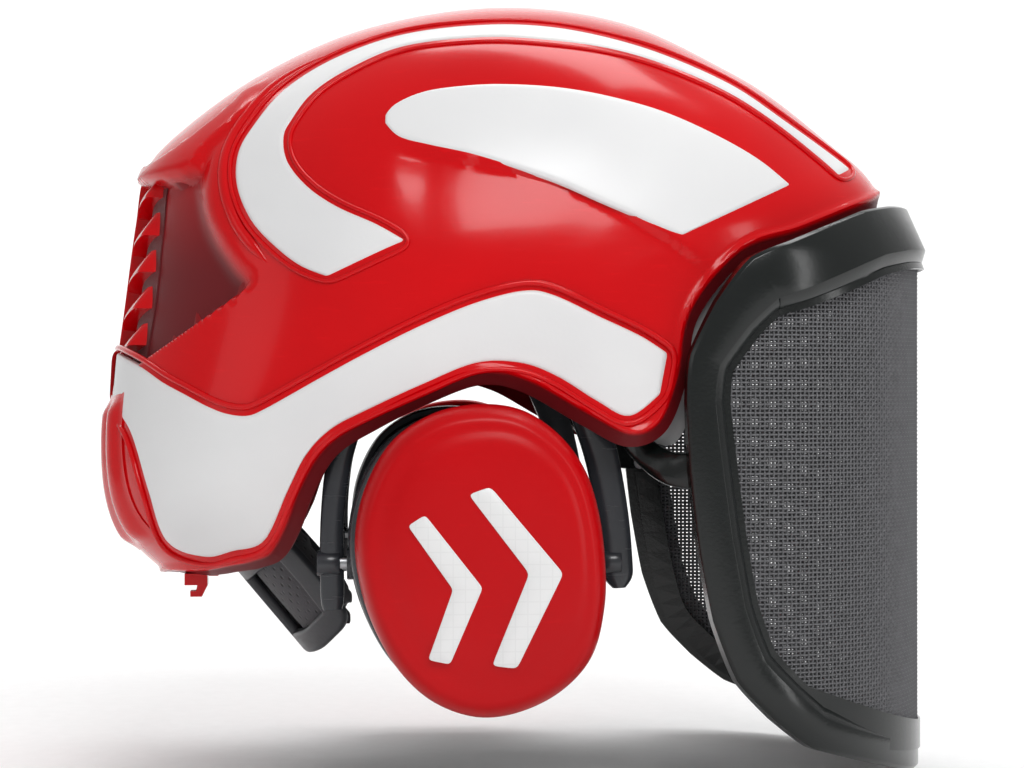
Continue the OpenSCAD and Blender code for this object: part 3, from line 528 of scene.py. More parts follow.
def back_sheet(turns, halves, lifts, sweep, rows, cols):
    """Plate over the back: its half width goes from the first to the second of halves, its edges
    run sweep degrees behind its middle, and lifts are its two faces' heights over the skin."""
    s, t = np.meshgrid(np.linspace(0, 1, rows), np.linspace(-1, 1, cols), indexing="ij")
    turn = turns[0] + (turns[1] - turns[0]) * s + sweep * np.abs(t)
    y = t * (halves[0] + (halves[1] - halves[0]) * s)
    return plate(skin_back(turn, y, np.full(s.shape, float(lifts[0]))),
                 skin_back(turn, y, np.full(s.shape, float(lifts[1]))))


def louvre_form(turn, half, rise):
    """Arrow louvre over the back: its lower edge stands off by rise and its point hangs down."""
    s, t = np.meshgrid(np.linspace(0, 1, 9), np.linspace(-1, 1, 61), indexing="ij")
    round_ = np.sqrt(np.clip(1 - (2 * s - 1)**2, 0, 1))
    at = turn - 2.0 + 3.6 * s + 4.0 * (1 - np.sqrt(t**2 + 0.004))
    y = t * half * (1 + 0.06 * s)
    edge = smooth((1 - np.abs(t)) * 8)
    top = -6.0 + (rise + 0.7 * round_) * (0.25 + 0.75 * s) * edge
    return plate(skin_back(at, y, top), skin_back(at, y, np.minimum(top - 1.5, -6.4)))


def rear_v(side_count=61):
    """Raised V low on the back: two ridges and two hollows run down each side of it."""
    s, t = np.meshgrid(np.linspace(0, 1, 40), np.linspace(-1, 1, side_count), indexing="ij")
    turn = 190 + 22 * s
    y = t * (45 + 13 * s)
    a = np.abs(t)
    ribs = 1.1 * np.cos(a * np.pi * 5)
    fade = smooth(s * 7) * smooth((1 - s) * 7) * smooth((1 - a) * 9)
    lift = 0.4 + (1.4 + ribs) * fade
    return plate(skin_back(turn, y, lift), skin_back(turn, y, np.full(s.shape, -1.0)))


# ---- visor ------------------------------------------------------------------------------------
VISOR_X0, VISOR_REACH, VISOR_HALF_W, VISOR_N, FRAME_T = 50.0, 151.0, 104.5, 2.3, 7.0
# Middle line of the frame seen from the side with the bar's width, brow to chin
FRAME_LINE = [(151, 53.6, 20.8), (146, 53.4, 20.8), (136, 52.4, 20.8), (122, 49.6, 20.8),
              (106, 43.8, 20.8), (91, 38.2, 20.6), (78, 33.6, 20), (68, 22.5, 17), (59, 7.5, 13.8),
              (57.8, -6, 13), (59.5, -28, 14.5), (62.5, -52, 15), (67, -76, 15), (74, -94, 15),
              (85, -105.5, 15), (97, -114.8, 14.5), (112, -120, 13.2), (128, -125, 12.8),
              (141, -129.5, 12.8), (148, -131.4, 12.8), (151, -131.6, 12.8)]
OPENING_TOP = [(62, 6), (66, 13), (71, 20), (77, 25), (91, 31), (106, 35.5), (122, 40.5),
               (136, 44.5), (151, 48)]
OPENING_LOW = [(62, -36), (66, -58), (71, -80), (77, -94), (85, -101.5), (97, -111),
               (112, -118.5), (128, -123.5), (141, -126.5), (151, -128.5)]
GUARD_TOP = [(80, -94), (86, -98), (105, -105), (125, -112.5), (151, -121.5)]


def visor_width(x):
    """Half width of the visor in plan: W (1 - q^n)^(1/n), q going from the side bar to the
    front."""
    q = np.clip((x - VISOR_X0) / (VISOR_REACH - VISOR_X0), 0, 1)
    return VISOR_HALF_W * (1 - q**VISOR_N)**(1 / VISOR_N)


def visor_normal(x):
    """Outward direction of the visor in plan, square to its width curve."""
    slope = (visor_width(x + 0.05) - visor_width(x - 0.05)) / 0.1
    n = unit(np.stack([-slope, np.ones_like(x)], -1))
    n[x > VISOR_REACH - 0.3] = [1, 0]
    return n


def visor_plan(n, x0):
    """Points round the visor in plan from right to left at equal distances, with outward
    directions: the angle form x = x0 + a sin(t) keeps them even at the front."""
    t = np.linspace(0, np.pi / 2, 400)
    x = x0 + (VISOR_REACH - x0) * np.sin(t)
    half = np.stack([x, visor_width(x)], 1)
    both = np.vstack([half * [1, -1], half[-2::-1]])
    line = spaced(both, n)
    norm = visor_normal(line[:, 0])
    return line, np.stack([norm[:, 0], np.sign(line[:, 1]) * norm[:, 1]], 1)


def frame_form(per=8):
    """Ring round the visor. Its line sets back by up to 5 mm towards the front, where the bar
    thins, and over the brow its face leans back by up to 24 degrees."""
    corners = np.array(FRAME_LINE, float)
    s = np.linspace(0, len(corners) - 1, (len(corners) - 1) * per + 1)
    straight = np.stack([np.interp(s, np.arange(len(corners)), c) for c in corners.T], 1)
    half = 0.6 * straight + 0.4 * curve(FRAME_LINE, per)
    ahead = smooth((half[:, 0] - 80) / 60)
    path = np.stack([half[:, 0], -visor_width(half[:, 0]), half[:, 1]], 1)
    path[[0, -1], 1] = 0
    n = visor_normal(half[:, 0])
    out = np.stack([n[:, 0], -n[:, 1], np.zeros(len(n))], 1)
    along = unit(np.gradient(path, axis=0))
    out[[0, -1]], along[[0, -1]] = [1, 0, 0], [[0, -1, 0], [0, 1, 0]]
    path = path - out * 5.0 * ahead[:, None]
    across = unit(np.cross(along, out))
    lean = np.radians(24) * (smooth((half[:, 0] - 70) / 50) * (half[:, 1] > 0))[:, None]
    out, across = (out * np.cos(lean) + across * np.sin(lean),
                   across * np.cos(lean) - out * np.sin(lean))
    s = np.stack([bar_section(w, t) for w, t in zip(half[:, 2], FRAME_T - 3.0 * ahead)])
    ring = path[:, None] + across[:, None] * s[..., :1] + out[:, None] * s[..., 1:]
    ring[[0, -1], :, 1] = 0
    return tube(np.concatenate([ring, ring[-2:0:-1] * [1, -1, 1]]), True)


def bar_section(w, t):
    """Frame bar w wide and t thick: flat face, a bevel towards the opening, a narrow one outside
    and a thin lip that holds the mesh."""
    h, t, b = w / 2, t / 2, min(3.6, t - 1.2)
    return np.array([(-h - 2.4, -t), (-h - 2.4, -t + 0.8), (-h - 0.2, -t + 1.0), (-h, t - b - 0.5),
                     (-h + 0.3, t - b), (-h + 3.4, t - 0.15), (-h + 3.7, t), (h - 1.3, t),
                     (h - 1.0, t - 0.15), (h, t - 1.2), (h, -t)])


def woven_wire(warp, weft, r, bend, inset):
    """Wires both ways over the visor's opening. Each is a three-sided bar through the crossings,
    and passes over and under the others: its offset is bend times (-1)^(i + k)."""
    rough, _ = visor_plan(900, 62.5)
    length = np.linalg.norm(np.diff(rough, axis=0), axis=1).sum()
    line, out = visor_plan(int(length / warp), 62.5)
    z = np.arange(-130.0, 52.0, weft)
    low = np.interp(line[:, 0], *np.array(OPENING_LOW).T) - 2.4
    high = np.interp(line[:, 0], *np.array(OPENING_TOP).T) + 2.4
    inside = (z[None] > low[:, None]) & (z[None] < high[:, None])
    i, k = np.meshgrid(np.arange(len(line)), np.arange(len(z)), indexing="ij")
    wave = bend * (-1.0)**(i + k)
    base = np.stack([*np.broadcast_arrays(line[:, None, 0], line[:, None, 1], z[None])], -1)
    away = np.concatenate([out, np.zeros((len(out), 1))], 1)[:, None]
    flat = unit(np.stack([-away[..., 1], away[..., 0], 0 * away[..., 0]], -1))
    angle = np.radians([90, 210, 330])
    forms = []
    for sign, other, axis in ((1, np.array([0, 0, 1.0]), 0), (-1, flat, 1)):
        mid = base + away * (sign * wave - inset)[..., None]
        ring = mid[..., None, :] + r * (away[..., None, :] * np.sin(angle)[:, None]
                                        + (other + 0 * away)[..., None, :]
                                        * np.cos(angle)[:, None])
        index = np.arange(ring.size // 3).reshape(ring.shape[:3])
        a, b = (index[:-1], index[1:]) if axis == 0 else (index[:, :-1], index[:, 1:])
        both = (inside[:-1] & inside[1:]) if axis == 0 else (inside[:, :-1] & inside[:, 1:])
        a, b = a[both], b[both]
        f = np.stack([a, b, np.roll(b, -1, 1), np.roll(a, -1, 1)], -1).reshape(-1, 4)
        used, f = np.unique(f, return_inverse=True)
        f = f.reshape(-1, 4)
        forms.append((ring.reshape(-1, 3)[used], (f if axis else f[:, ::-1]).tolist()))
    return forms


def curved_sheet(inset, t, x0, low, high, n=90, rows=6):
    """Sheet round the visor between two heights, t thick."""
    line, out = visor_plan(n, x0)
    s = np.linspace(0, 1, rows)
    z = low(line[:, 0])[:, None] * (1 - s) + high(line[:, 0])[:, None] * s
    faces = []
    for d in (inset, inset + t):
        p = line - out * d
        faces.append(np.stack([*np.broadcast_arrays(p[:, None, 0], p[:, None, 1], z)], -1))
    return plate(*faces)


# ---- visor arms, yokes and cups ---------------------------------------------------------------
# Arm from its hub down to the side bar: x, z, middle y and height
ARM_LINE = [(15, 21, 93.9, 15), (20, 11, 93.9, 13), (29, -6, 92.0, 10.8), (38, -21, 89.4, 9.4),
            (47, -28, 95.0, 11), (56, -29, 99.2, 12), (61, -29, 99.2, 11)]


def arm_form(side):
    """Hooked arm: a crowned strap carried from the hub, between the shells, to the side bar."""
    line = curve_at(ARM_LINE, np.linspace(0, len(ARM_LINE) - 1, 60))
    path = np.stack([line[:, 0], side * line[:, 2], line[:, 1]], 1)
    along = unit(np.gradient(path, axis=0))
    out = unit(np.cross(np.stack([-along[:, 2], 0 * path[:, 0], along[:, 0]], 1), along))
    out *= np.sign(out[:, 1:2] * side)
    s = np.stack([crowned(h, 3.0, 0.5) for h in line[:, 3]])
    strap = carried(path, np.cross(along, out), out, s)
    hub = disc((15, side * 92.4, 21), (0, side, 0),
               [(0, 4.1), (0, 8.6), (0.4, 9), (2.6, 9), (3.0, 8.6), (3.0, 6), (2.5, 5.6),
                (2.5, 4.1)])
    return [strap, hub]


def crowned(w, t, rise, per=5):
    """Strap section w by t: rounded edges and an outer face that rises in the middle."""
    x = np.linspace(-w / 2 + 0.8, w / 2 - 0.8, per)
    top = np.stack([x, t / 2 + rise * (1 - (2 * x / w)**2)], 1)
    edge = np.array([(w / 2 - 0.2, t / 2 - 0.3), (w / 2, 0), (w / 2 - 0.2, -t / 2 + 0.3),
                     (w / 2 - 0.8, -t / 2), (-w / 2 + 0.8, -t / 2), (-w / 2 + 0.2, -t / 2 + 0.3),
                     (-w / 2, 0), (-w / 2 + 0.2, t / 2 - 0.3)])
    return np.vstack([top, edge])


YOKE_Y, HINGE = 85.0, (86.0, 5.0)
FRONT_LEG = [(6, 15, 12), (16, 0, 12), (24, -20, 11.6), (28.6, -42, 11), (30.6, -60, 10.4),
             (31, -65.4, 9.2), (31.2, -68.6, 4.6)]
REAR_LEG = [(-46, 15, 9), (-55.5, -3, 9), (-62.5, -24, 8.6), (-65.2, -46, 8), (-65.2, -70, 8),
            (-65, -75.5, 6.4)]


def leg_form(line, side, rise):
    """Leg of the yoke: a crowned strap in the plane of the yoke."""
    line = curve_at(line, np.linspace(0, len(line) - 1, 44))
    path = np.stack([line[:, 0], np.full(len(line), side * YOKE_Y), line[:, 1]], 1)
    along = unit(np.gradient(path, axis=0))
    out = np.broadcast_to([0.0, side, 0.0], path.shape)
    s = np.stack([crowned(w, 3.0, rise) for w in line[:, 2]])
    return carried(path, np.cross(along, out), out, s)


def block(x, y, z, w, h, t, r=0.8):
    """Bar along X with rounded edges: w long, h high and t deep about its middle."""
    s = box_section(h, t, r)
    end = np.linspace(-w / 2, w / 2, 4)
    path = np.stack([x + end, np.full(4, y), np.full(4, z)], 1)
    return carried(path, np.tile([0, 0, 1.0], (4, 1)), np.tile([0, 1.0, 0], (4, 1)), s)


def yoke_form(side):
    """Yoke: two legs, the bar that joins them, its hinge knuckles and the cup bosses."""
    y = side * YOKE_Y
    parts = [leg_form(FRONT_LEG, side, 1.1), leg_form(REAR_LEG, side, 0.9),
             block(-20, y, 13.6, 58, 6.8, 3)]
    for x in (-34.2, 0.2):
        parts.append(block(x, y, 9, 7.6, 8, 3))
        parts.append(disc((x - 3.7, side * HINGE[0], HINGE[1]), (1, 0, 0),
                          [(0, 2.05), (0, 4.1), (0.4, 4.4), (7.1, 4.4), (7.5, 4.1), (7.5, 2.05)]))
    for x0, x1 in ((25.8, 31.8), (-70.3, -62.6)):
        parts.append(disc((x0, y, -60), (1, 0, 0),
                          [(0, 2.6), (0, 3.9), (0.4, 4.2), (x1 - x0 - 0.4, 4.2),
                           (x1 - x0, 3.9), (x1 - x0, 2.6)]))
    return parts


CUP_CENTRE = np.array([-17.0, -57.0])
CUP_OUTLINE = [(0, 50.5), (14, 48.5), (26, 40.5), (34.5, 29), (39, 15), (41, 0), (41, -15),
               (37, -31.5), (27, -43), (13, -50), (-1, -51.5), (-15, -46.5), (-26, -36.5),
               (-34, -23), (-39, -8), (-40.5, 8), (-37, 24), (-28.5, 38.5), (-15, 47.5)]
CUP_BACK = np.array([-4.5, 0.5])
FACE_Y, CAP_Y, BACK_Y = 122.0, 107.0, 84.0


def cup_rings(steps, side, shift=(0, 0), n=112):
    """Form of nested outlines: each step gives the outline's scale, its y, and how far its middle
    slides forward and up."""
    base = spaced(curve(CUP_OUTLINE, 8, True), n, True)
    rings = [np.stack([CUP_CENTRE[0] + shift[0] + base[:, 0] * k + slide[0],
                       np.full(n, side * y),
                       CUP_CENTRE[1] + shift[1] + base[:, 1] * k + slide[1]], 1)
             for k, y, slide in steps]
    return tube(np.stack(rings))


def cap_form(side):
    """Ear cup cap: a flat raised plateau, an eased step down to a shoulder that is wider low and
    behind, and a full round to the edge."""
    steps = [(k, FACE_Y - d, s) for k, d, s in
             ((0.02, 0.0, (2, 2)), (0.3, 0.05, (2, 2)), (0.55, 0.2, (2, 2)), (0.66, 0.4, (2, 2)),
              (0.72, 0.7, (2, 2)), (0.76, 1.15, (1.8, 1.8)), (0.79, 1.6, (1.4, 1.4)),
              (0.82, 1.9, (1, 1)), (0.855, 2.05, (0.5, 0.6)), (0.885, 2.1, (0.2, 0.3)),
              (0.912, 2.6, (0, 0)), (0.938, 3.7, (0, 0)), (0.96, 5.2, (0, 0)),
              (0.98, 7.2, (0, 0)), (0.993, 9.4, (0, 0)), (1.0, 11.5, (0, 0)),
              (0.998, 13.6, (0, 0)), (0.985, 15, (0, 0)), (0.93, 15, (0, 0)),
              (0.90, 13.2, (0, 0)), (0.5, 13.2, (0, 0)), (0.02, 13.2, (0, 0)))]
    return cup_rings(steps, side, n=160)


def back_form(side):
    """Black back of the cup: rounded outside, open towards the head, with a floor inside."""
    k = 0.94
    steps = [(0.02, CAP_Y - 0.6, (0, 0)), (k - 0.08, CAP_Y - 0.6, (0, 0)),
             (k - 0.03, CAP_Y - 1.4, (0, 0)), (k - 0.008, CAP_Y - 3, (0, 0)),
             (k, CAP_Y - 6, (0, 0)), (k, 93, (0, 0)), (k + 0.006, 92.4, (0, 0)),
             (k + 0.006, 91.4, (0, 0)), (k, 90.8, (0, 0)), (k, BACK_Y + 1, (0, 0)),
             (k - 0.012, BACK_Y, (0, 0)), (k - 0.05, BACK_Y, (0, 0)),
             (k - 0.06, BACK_Y + 1, (0, 0)), (k - 0.06, CAP_Y - 4, (0, 0)),
             (k - 0.1, CAP_Y - 3, (0, 0)), (0.02, CAP_Y - 3, (0, 0))]
    bosses = [disc((x0, side * 85, -60), (1, 0, 0),
                   [(0, 2.6), (0, 5.2), (0.4, 5.5), (x1 - x0 - 0.4, 5.5), (x1 - x0, 5.2),
                    (x1 - x0, 2.6)]) for x0, x1 in ((16.4, 22.4), (-60.3, -57))]
    return [cup_rings(steps, side, CUP_BACK), *bosses]


CHEVRON_SMALL = [(-40.5, -45.5), (-35, -42), (-16.5, -65.5), (-27, -90), (-34, -88.5), (-26, -66)]
CHEVRON_LARGE = [(-21, -35.5), (-14, -33), (9.5, -61), (-5.5, -91.5), (-13.5, -90.5), (-1.5, -61)]


def chevron_form(outline, side):
    """Chevron film: its outline with eased corners and a narrow bevel, 0.4 mm over the plateau."""
    line = eased(spaced(np.array(outline, float), 190, True), 4)
    ring = lambda p, y: np.stack([p[:, 0], np.full(len(p), side * y), p[:, 1]], 1)
    return tube(np.stack([ring(line, FACE_Y - 1.6), ring(line, FACE_Y + 0.25),
                          ring(grown(line, -0.25), FACE_Y + 0.45)]))


def foam_form(side):
    """Acoustic foam: a disc whose inner face rises and falls like an egg tray, 11 mm apart."""
    k = np.linspace(0.02, 0.81, 42)
    base = spaced(curve(CUP_OUTLINE, 8, True), 120, True)
    x = CUP_CENTRE[0] + CUP_BACK[0] + base[None, :, 0] * k[:, None]
    z = CUP_CENTRE[1] + CUP_BACK[1] + base[None, :, 1] * k[:, None]
    fade = smooth((0.81 - k) * 14)[:, None]
    y = 97.6 - 1.3 * fade * (1 + np.sin(x * 2 * np.pi / 11) * np.sin(z * 2 * np.pi / 11))
    front = np.stack([x, side * y, z], -1)
    back = np.stack([x[::-1], np.full(x.shape, side * 103.9), z[::-1]], -1)
    return tube(np.concatenate([front, back]))


# ---- head basket ------------------------------------------------------------------------------
BAND_L, BAND_W, BAND_TILT, BAND_Z = 98.0, 79.0, 11.0, 30.0
CROWN_Z = 101.0


def tilted(p):
    """From the headband's own plane to the frame: turned up towards the brow, then raised."""
    a = math.radians(BAND_TILT)
    return np.stack([p[..., 0] * math.cos(a) - p[..., 2] * math.sin(a), p[..., 1],
                     p[..., 0] * math.sin(a) + p[..., 2] * math.cos(a) + BAND_Z], -1)


def oval(grow, turns):
    """Oval of the headband, grown outward: (L + g) cos a, (W + g) sin a."""
    rad = np.radians(turns)
    return np.stack([(BAND_L + grow) * np.cos(rad), (BAND_W + grow) * np.sin(rad)], 1)


def band_form():
    """Headband: an oval strip with rolled edges and two raised ribs along it."""
    turns = np.arange(180) * 2.0
    h = np.array([-11.2, -12, -12, -11.2, -8.4, -7.6, -6.0, -5.2, 5.2, 6.0, 7.6, 8.4, 11.2, 12, 12,
                  11.2])
    g = np.array([-2.4, -2.1, -0.3, 0, 0, 0.5, 0.5, 0, 0, 0.5, 0.5, 0, 0, -0.3, -2.1, -2.4]) - 0.5
    rings = np.stack([np.concatenate([oval(a, turns), np.full((180, 1), b)], 1)
                      for a, b in zip(g, h)], 1)
    return tube(tilted(rings), True)


def webbing(path, across, w, t, ease=0.35):
    """Flat strap of webbing with its own cloth coordinates: metres across and along it."""
    section = box_section(w, t, ease, 2)
    out = unit(np.cross(unit(np.gradient(path, axis=0)), across))
    form = carried(path, across, out, section)
    run = np.r_[0, np.cumsum(np.linalg.norm(np.diff(path, axis=0), axis=1))]
    u = np.broadcast_to(section[None, :, 0], (len(path), len(section)))
    v = np.broadcast_to(run[:, None], u.shape)
    return form, np.stack([u, v], -1).reshape(-1, 2) * MM


def straps_form():
    """Three webbing arcs: two half ellipses side to side and one front to back."""
    t = np.linspace(0, np.pi, 64)
    forms = []
    for x in (-36, 34):
        y = BAND_W * math.sqrt(1 - (x / BAND_L)**2) - 3.8
        z = BAND_Z + x * math.tan(math.radians(BAND_TILT)) - 4
        path = np.stack([np.full(64, float(x)), y * np.cos(t),
                         z + (CROWN_Z - 0.8 - z) * np.sin(t)], 1)
        forms.append(webbing(path, np.tile([1.0, 0, 0], (64, 1)), 20, 1.6))
    path = tilted(np.stack([86.8 * np.cos(t), 0 * t, 69.8 * np.sin(t)], 1))
    forms.append(webbing(path, np.tile([0, 1.0, 0], (64, 1)), 20, 1.6))
    return [f for f, _ in forms], np.vstack([u for _, u in forms])


NAPE_O, NAPE_LEAN, NAPE_R = np.array([-54.0, 0, -22.0]), 40.0, 62.0


def at_nape(turn, r, z):
    """Points of the leaning nape ring: turn from straight back, radius and height in its axes."""
    a, lean = np.radians(180 + turn), math.radians(NAPE_LEAN)
    x, y = r * np.cos(a), r * np.sin(a)
    return np.stack([x * math.cos(lean) - z * math.sin(lean), y + 0 * z,
                     x * math.sin(lean) + z * math.cos(lean)], -1) + NAPE_O


def cradle_form():
    """Nape cradle: two rounded loops side by side on the leaning ring, joined at the back."""
    forms = []
    for side in (-1, 1):
        corners = np.array([(4.5, -6), (26, -5), (45.5, -6), (46, -23), (45, -39), (26, -41),
                            (5, -40), (4, -23)], float) * [side, 1]
        line = spaced(eased(spaced(corners, 96, True), 5), 96, True)
        path = at_nape(line[:, 0], np.full(96, NAPE_R + 2.0), line[:, 1])
        rad = at_nape(line[:, 0], np.full(96, NAPE_R + 3.0), line[:, 1]) - path
        along = unit(np.roll(path, -1, 0) - np.roll(path, 1, 0))
        forms.append(carried(path, unit(np.cross(along, unit(rad))), unit(rad),
                             box_section(9.4, 4.0, 1.5, 4), True))
    return forms


def knob_form():
    """Adjuster knob: sixteen soft flutes round a dished face."""
    return disc((-111.6, 0, -42), (-1, 0, 0),
                [(0, 6), (0, 13.5), (0.8, 14.8), (8.6, 14.8), (10.2, 13.8), (11.2, 11.6),
                 (11.2, 9.6), (10.2, 9.0), (7.4, 8.6), (7.2, 1.0)], 192, 16, 0.8)


# ---- pads -------------------------------------------------------------------------------------
def crowned_pad(place, size, thick, n=(46, 18), round_=5):
    """Crowned pad on a curved bed: place(s, t, h) puts s and t, from -1 to 1, and a height on the
    bed. Its height is thick * (1 - |s|^r)^0.5 * (1 - |t|^r)^0.5, and its corners are rounded."""
    a = np.sin(np.linspace(-1, 1, n[0]) * np.pi / 2)
    b = np.sin(np.linspace(-1, 1, n[1]) * np.pi / 2)
    s, t = np.meshgrid(a, b, indexing="ij")
    corner = (np.abs(s) * np.abs(t))**6
    s, t = s * (1 - 0.06 * corner * size[1] / size[0]), t * (1 - 0.16 * corner)
    crown = np.sqrt(np.clip(1 - np.abs(s)**round_, 0.012, 1) * np.clip(1 - np.abs(t)**4, 0.012, 1))
    channel = 1 - 0.20 * np.exp(-((np.abs(s) - 0.34) * size[0] / 2.2)**2)
    return plate(place(s, t, thick * crown * channel), place(s, t, -0.4 * crown))


def brow_pad_form():
    """Brow pad: a crowned pad bent round the front of the headband."""
    def place(s, t, h):
        rad = np.radians(52 * s)
        out = -2.8 - h
        return tilted(np.stack([(BAND_L + out) * np.cos(rad), (BAND_W + out) * np.sin(rad),
                                14.6 * t + 0 * h], -1))
    return crowned_pad(place, (76, 15), 6.2, (64, 20))


def crown_pad_form():
    """Crown pad: a crowned pad, 53 by 45 mm, that lies level under the straps."""
    def place(s, t, h):
        return tilted(np.stack([26.5 * s, 22.5 * t, 62.2 - h], -1))
    return crowned_pad(place, (26, 22), 5.6, (40, 34))


def nape_pad_form():
    """Nape pad: a crowned pad bent round the nape ring."""
    def place(s, t, h):
        return at_nape(49 * s, 61.2 - h, -23.5 + 23.2 * t)
    return crowned_pad(place, (53, 24), 6.2, (60, 30))


def cushion_form(side):
    """Ear cushion: a ring whose section is a rounded cushion, pulled in at its seam."""
    base = spaced(curve(CUP_OUTLINE, 8, True), 120, True)
    a = np.arange(36) * 2 * np.pi / 36
    wide = np.sign(np.cos(a)) * np.abs(np.cos(a))**0.75
    deep = np.sign(np.sin(a)) * np.abs(np.sin(a))**0.75
    wide = wide * (1 - 0.10 * np.exp(-(np.sin(a) / 0.16)**2))
    k = 0.715 + 0.158 * wide
    p = [np.stack([CUP_CENTRE[0] + CUP_BACK[0] + base[:, 0] * q,
                   np.full(len(base), side * (80.0 - 3.6 * d)),
                   CUP_CENTRE[1] + CUP_BACK[1] + base[:, 1] * q], 1) for q, d in zip(k, deep)]
    return tube(np.stack(p), True)


def swell(made, cap, voxel=0.0042):
    """Fills a pad: a voxel copy blown up by cloth under pressure without gravity, with no point
    moved further than cap metres, and smoothed by one subdivision."""
    scene = bpy.context.scene
    grid = made.modifiers.new("Grid", "REMESH")
    grid.mode, grid.voxel_size = "VOXEL", voxel
    shrunk = bpy.data.meshes.new_from_object(
        made.evaluated_get(bpy.context.evaluated_depsgraph_get()))
    made.modifiers.clear()
    made.data = shrunk
    start = np.zeros(len(shrunk.vertices) * 3)
    shrunk.vertices.foreach_get("co", start)
    cloth = made.modifiers.new("Fill", "CLOTH")
    cloth.settings.use_pressure = True
    cloth.settings.uniform_pressure_force = 4
    cloth.settings.effector_weights.gravity = 0
    cloth.point_cache.frame_start, cloth.point_cache.frame_end = 1, 20
    for at in range(1, 21):
        scene.frame_set(at)
    blown = bpy.data.meshes.new_from_object(
        made.evaluated_get(bpy.context.evaluated_depsgraph_get()))
    end = np.zeros_like(start)
    blown.vertices.foreach_get("co", end)
    scene.frame_set(1)
    made.modifiers.clear()
    step = (end - start).reshape(-1, 3)
    far = np.maximum(np.linalg.norm(step, axis=1, keepdims=True), 1e-9)
    step *= np.minimum(1, cap / far)
    shrunk.vertices.foreach_set("co", start + step.ravel())
    shrunk.polygons.foreach_set("use_smooth", [True] * len(shrunk.polygons))
    shrunk.update()
    finer = made.modifiers.new("Finer", "SUBSURF")
    finer.levels = finer.render_levels = 1


# ---- materials --------------------------------------------------------------------------------
def linear(code):
    """Colour code in sRGB as linear red, green, blue and alpha."""
    c = [int(code[k:k + 2], 16) / 255 for k in (1, 3, 5)]
    return (*[x / 12.92 if x <= 0.04045 else ((x + 0.055) / 1.055)**2.4 for x in c], 1.0)


def add(tree, kind, inputs=None, **settings):
    """Adds a node with its settings, and gives its inputs values or links."""
    node = tree.nodes.new(kind)
    for name, value in settings.items():
        setattr(node, name, value)
    for key, value in (inputs or {}).items():
        if isinstance(value, bpy.types.NodeSocket):
            tree.links.new(value, node.inputs[key])
        else:
            node.inputs[key].default_value = value
    return node


def every(mm):
    """Texture scale of a pattern that repeats about every so many millimetres."""
    return 1000.0 / mm


def blank(name, **values):
    """New material: its tree, its shader with constants set, and object coordinates."""
    skin = bpy.data.materials.new(name)
    skin.use_nodes = True
    tree = skin.node_tree
    shader = tree.nodes["Principled BSDF"]
    for key, value in values.items():
        shader.inputs[key.replace("_", " ")].default_value = value
    return skin, tree, shader, add(tree, "ShaderNodeTexCoord").outputs["Object"]


def moulded(name, colour, deeper, rough, peel_mm, peel, scuff, **values):
    """Moulded plastic. The colour drifts slowly between two shades, fine grain or orange peel of
    peel_mm gives the bump, and handling leaves hairline scuffs that raise the roughness."""
    skin, tree, shader, place = blank(name, **values)
    drift = add(tree, "ShaderNodeTexNoise", {"Vector": place, "Scale": every(55), "Detail": 2.0})
    grain = add(tree, "ShaderNodeTexNoise",
                {"Vector": place, "Scale": every(peel_mm), "Detail": 2.0, "Roughness": 0.45})
    turned = add(tree, "ShaderNodeMapping",
                 {"Vector": place, "Rotation": (0.4, 0.9, 0.5), "Scale": (1, 1, 9)})
    hair = add(tree, "ShaderNodeTexNoise", {"Vector": turned.outputs[0], "Scale": every(14),
                                            "Detail": 4.0, "Roughness": 0.6})
    marks = add(tree, "ShaderNodeMapRange", {"Value": hair.outputs["Fac"], "From Min": 0.60,
                                             "From Max": 0.74, "To Min": 0.0, "To Max": 1.0})
    tone = add(tree, "ShaderNodeMix", {"Factor": drift.outputs["Fac"], "A": colour, "B": deeper},
               data_type="RGBA")
    worn = tuple(min(1.0, c * 1.12 + 0.002) for c in colour[:3]) + (1.0,)
    amount = add(tree, "ShaderNodeMath", {0: marks.outputs[0], 1: scuff}, operation="MULTIPLY")
    paint = add(tree, "ShaderNodeMix", {"Factor": amount.outputs[0], "A": tone.outputs["Result"],
                                        "B": worn}, data_type="RGBA")
    gloss = add(tree, "ShaderNodeMapRange", {"Value": hair.outputs["Fac"], "From Min": 0.3,
                                             "From Max": 0.8, "To Min": rough * 0.93,
                                             "To Max": rough * 1.1})
    bump = add(tree, "ShaderNodeBump", {"Height": grain.outputs["Fac"], "Strength": peel,
                                        "Distance": 0.0002})
    tree.links.new(paint.outputs["Result"], shader.inputs["Base Color"])
    tree.links.new(gloss.outputs[0], shader.inputs["Roughness"])
    tree.links.new(bump.outputs[0], shader.inputs["Normal"])
    return skin


def shell_red(c):
    # ABS, injection moulded and polished: deep red with long, clean highlights. Painted shade: a
    # dark red mixed in, on a matt finish, in the scoops, under the lip and over the inner face
    skin = moulded("abs_polished_red", c.shell, c.shell_deep, 0.17, 3.0, 0.10, 0.3,
                   Specular_IOR_Level=0.23, Coat_Weight=0.1, Coat_Roughness=0.05)
    tree = skin.node_tree
    shader = tree.nodes["Principled BSDF"]
    share = add(tree, "ShaderNodeAttribute", attribute_name="PaintedShadeAndMatt").outputs["Fac"]
    # The attribute's share mixes in the painted shade colour and the matt roughness
    for key, shade_and_matt in (("Base Color", c.vent), ("Roughness", 0.5)):
        kind, more = ("RGBA", 6) if key == "Base Color" else ("FLOAT", 2)
        mix = add(tree, "ShaderNodeMix", {0: share, more: shader.inputs[key].links[0].from_socket,
                                          more + 1: shade_and_matt}, data_type=kind)
        tree.links.new(mix.outputs[2 if kind == "RGBA" else 0], shader.inputs[key])
    return skin


def vent_dark_red(c):
    # ABS, spark-eroded mould face: rough, with a dark red that paints the shade between the louvres
    return moulded("abs_textured_painted_shade_red", c.vent, linear("#4a070b"), 0.55, 0.8, 0.5, 0.1,
                   IOR=1.53)


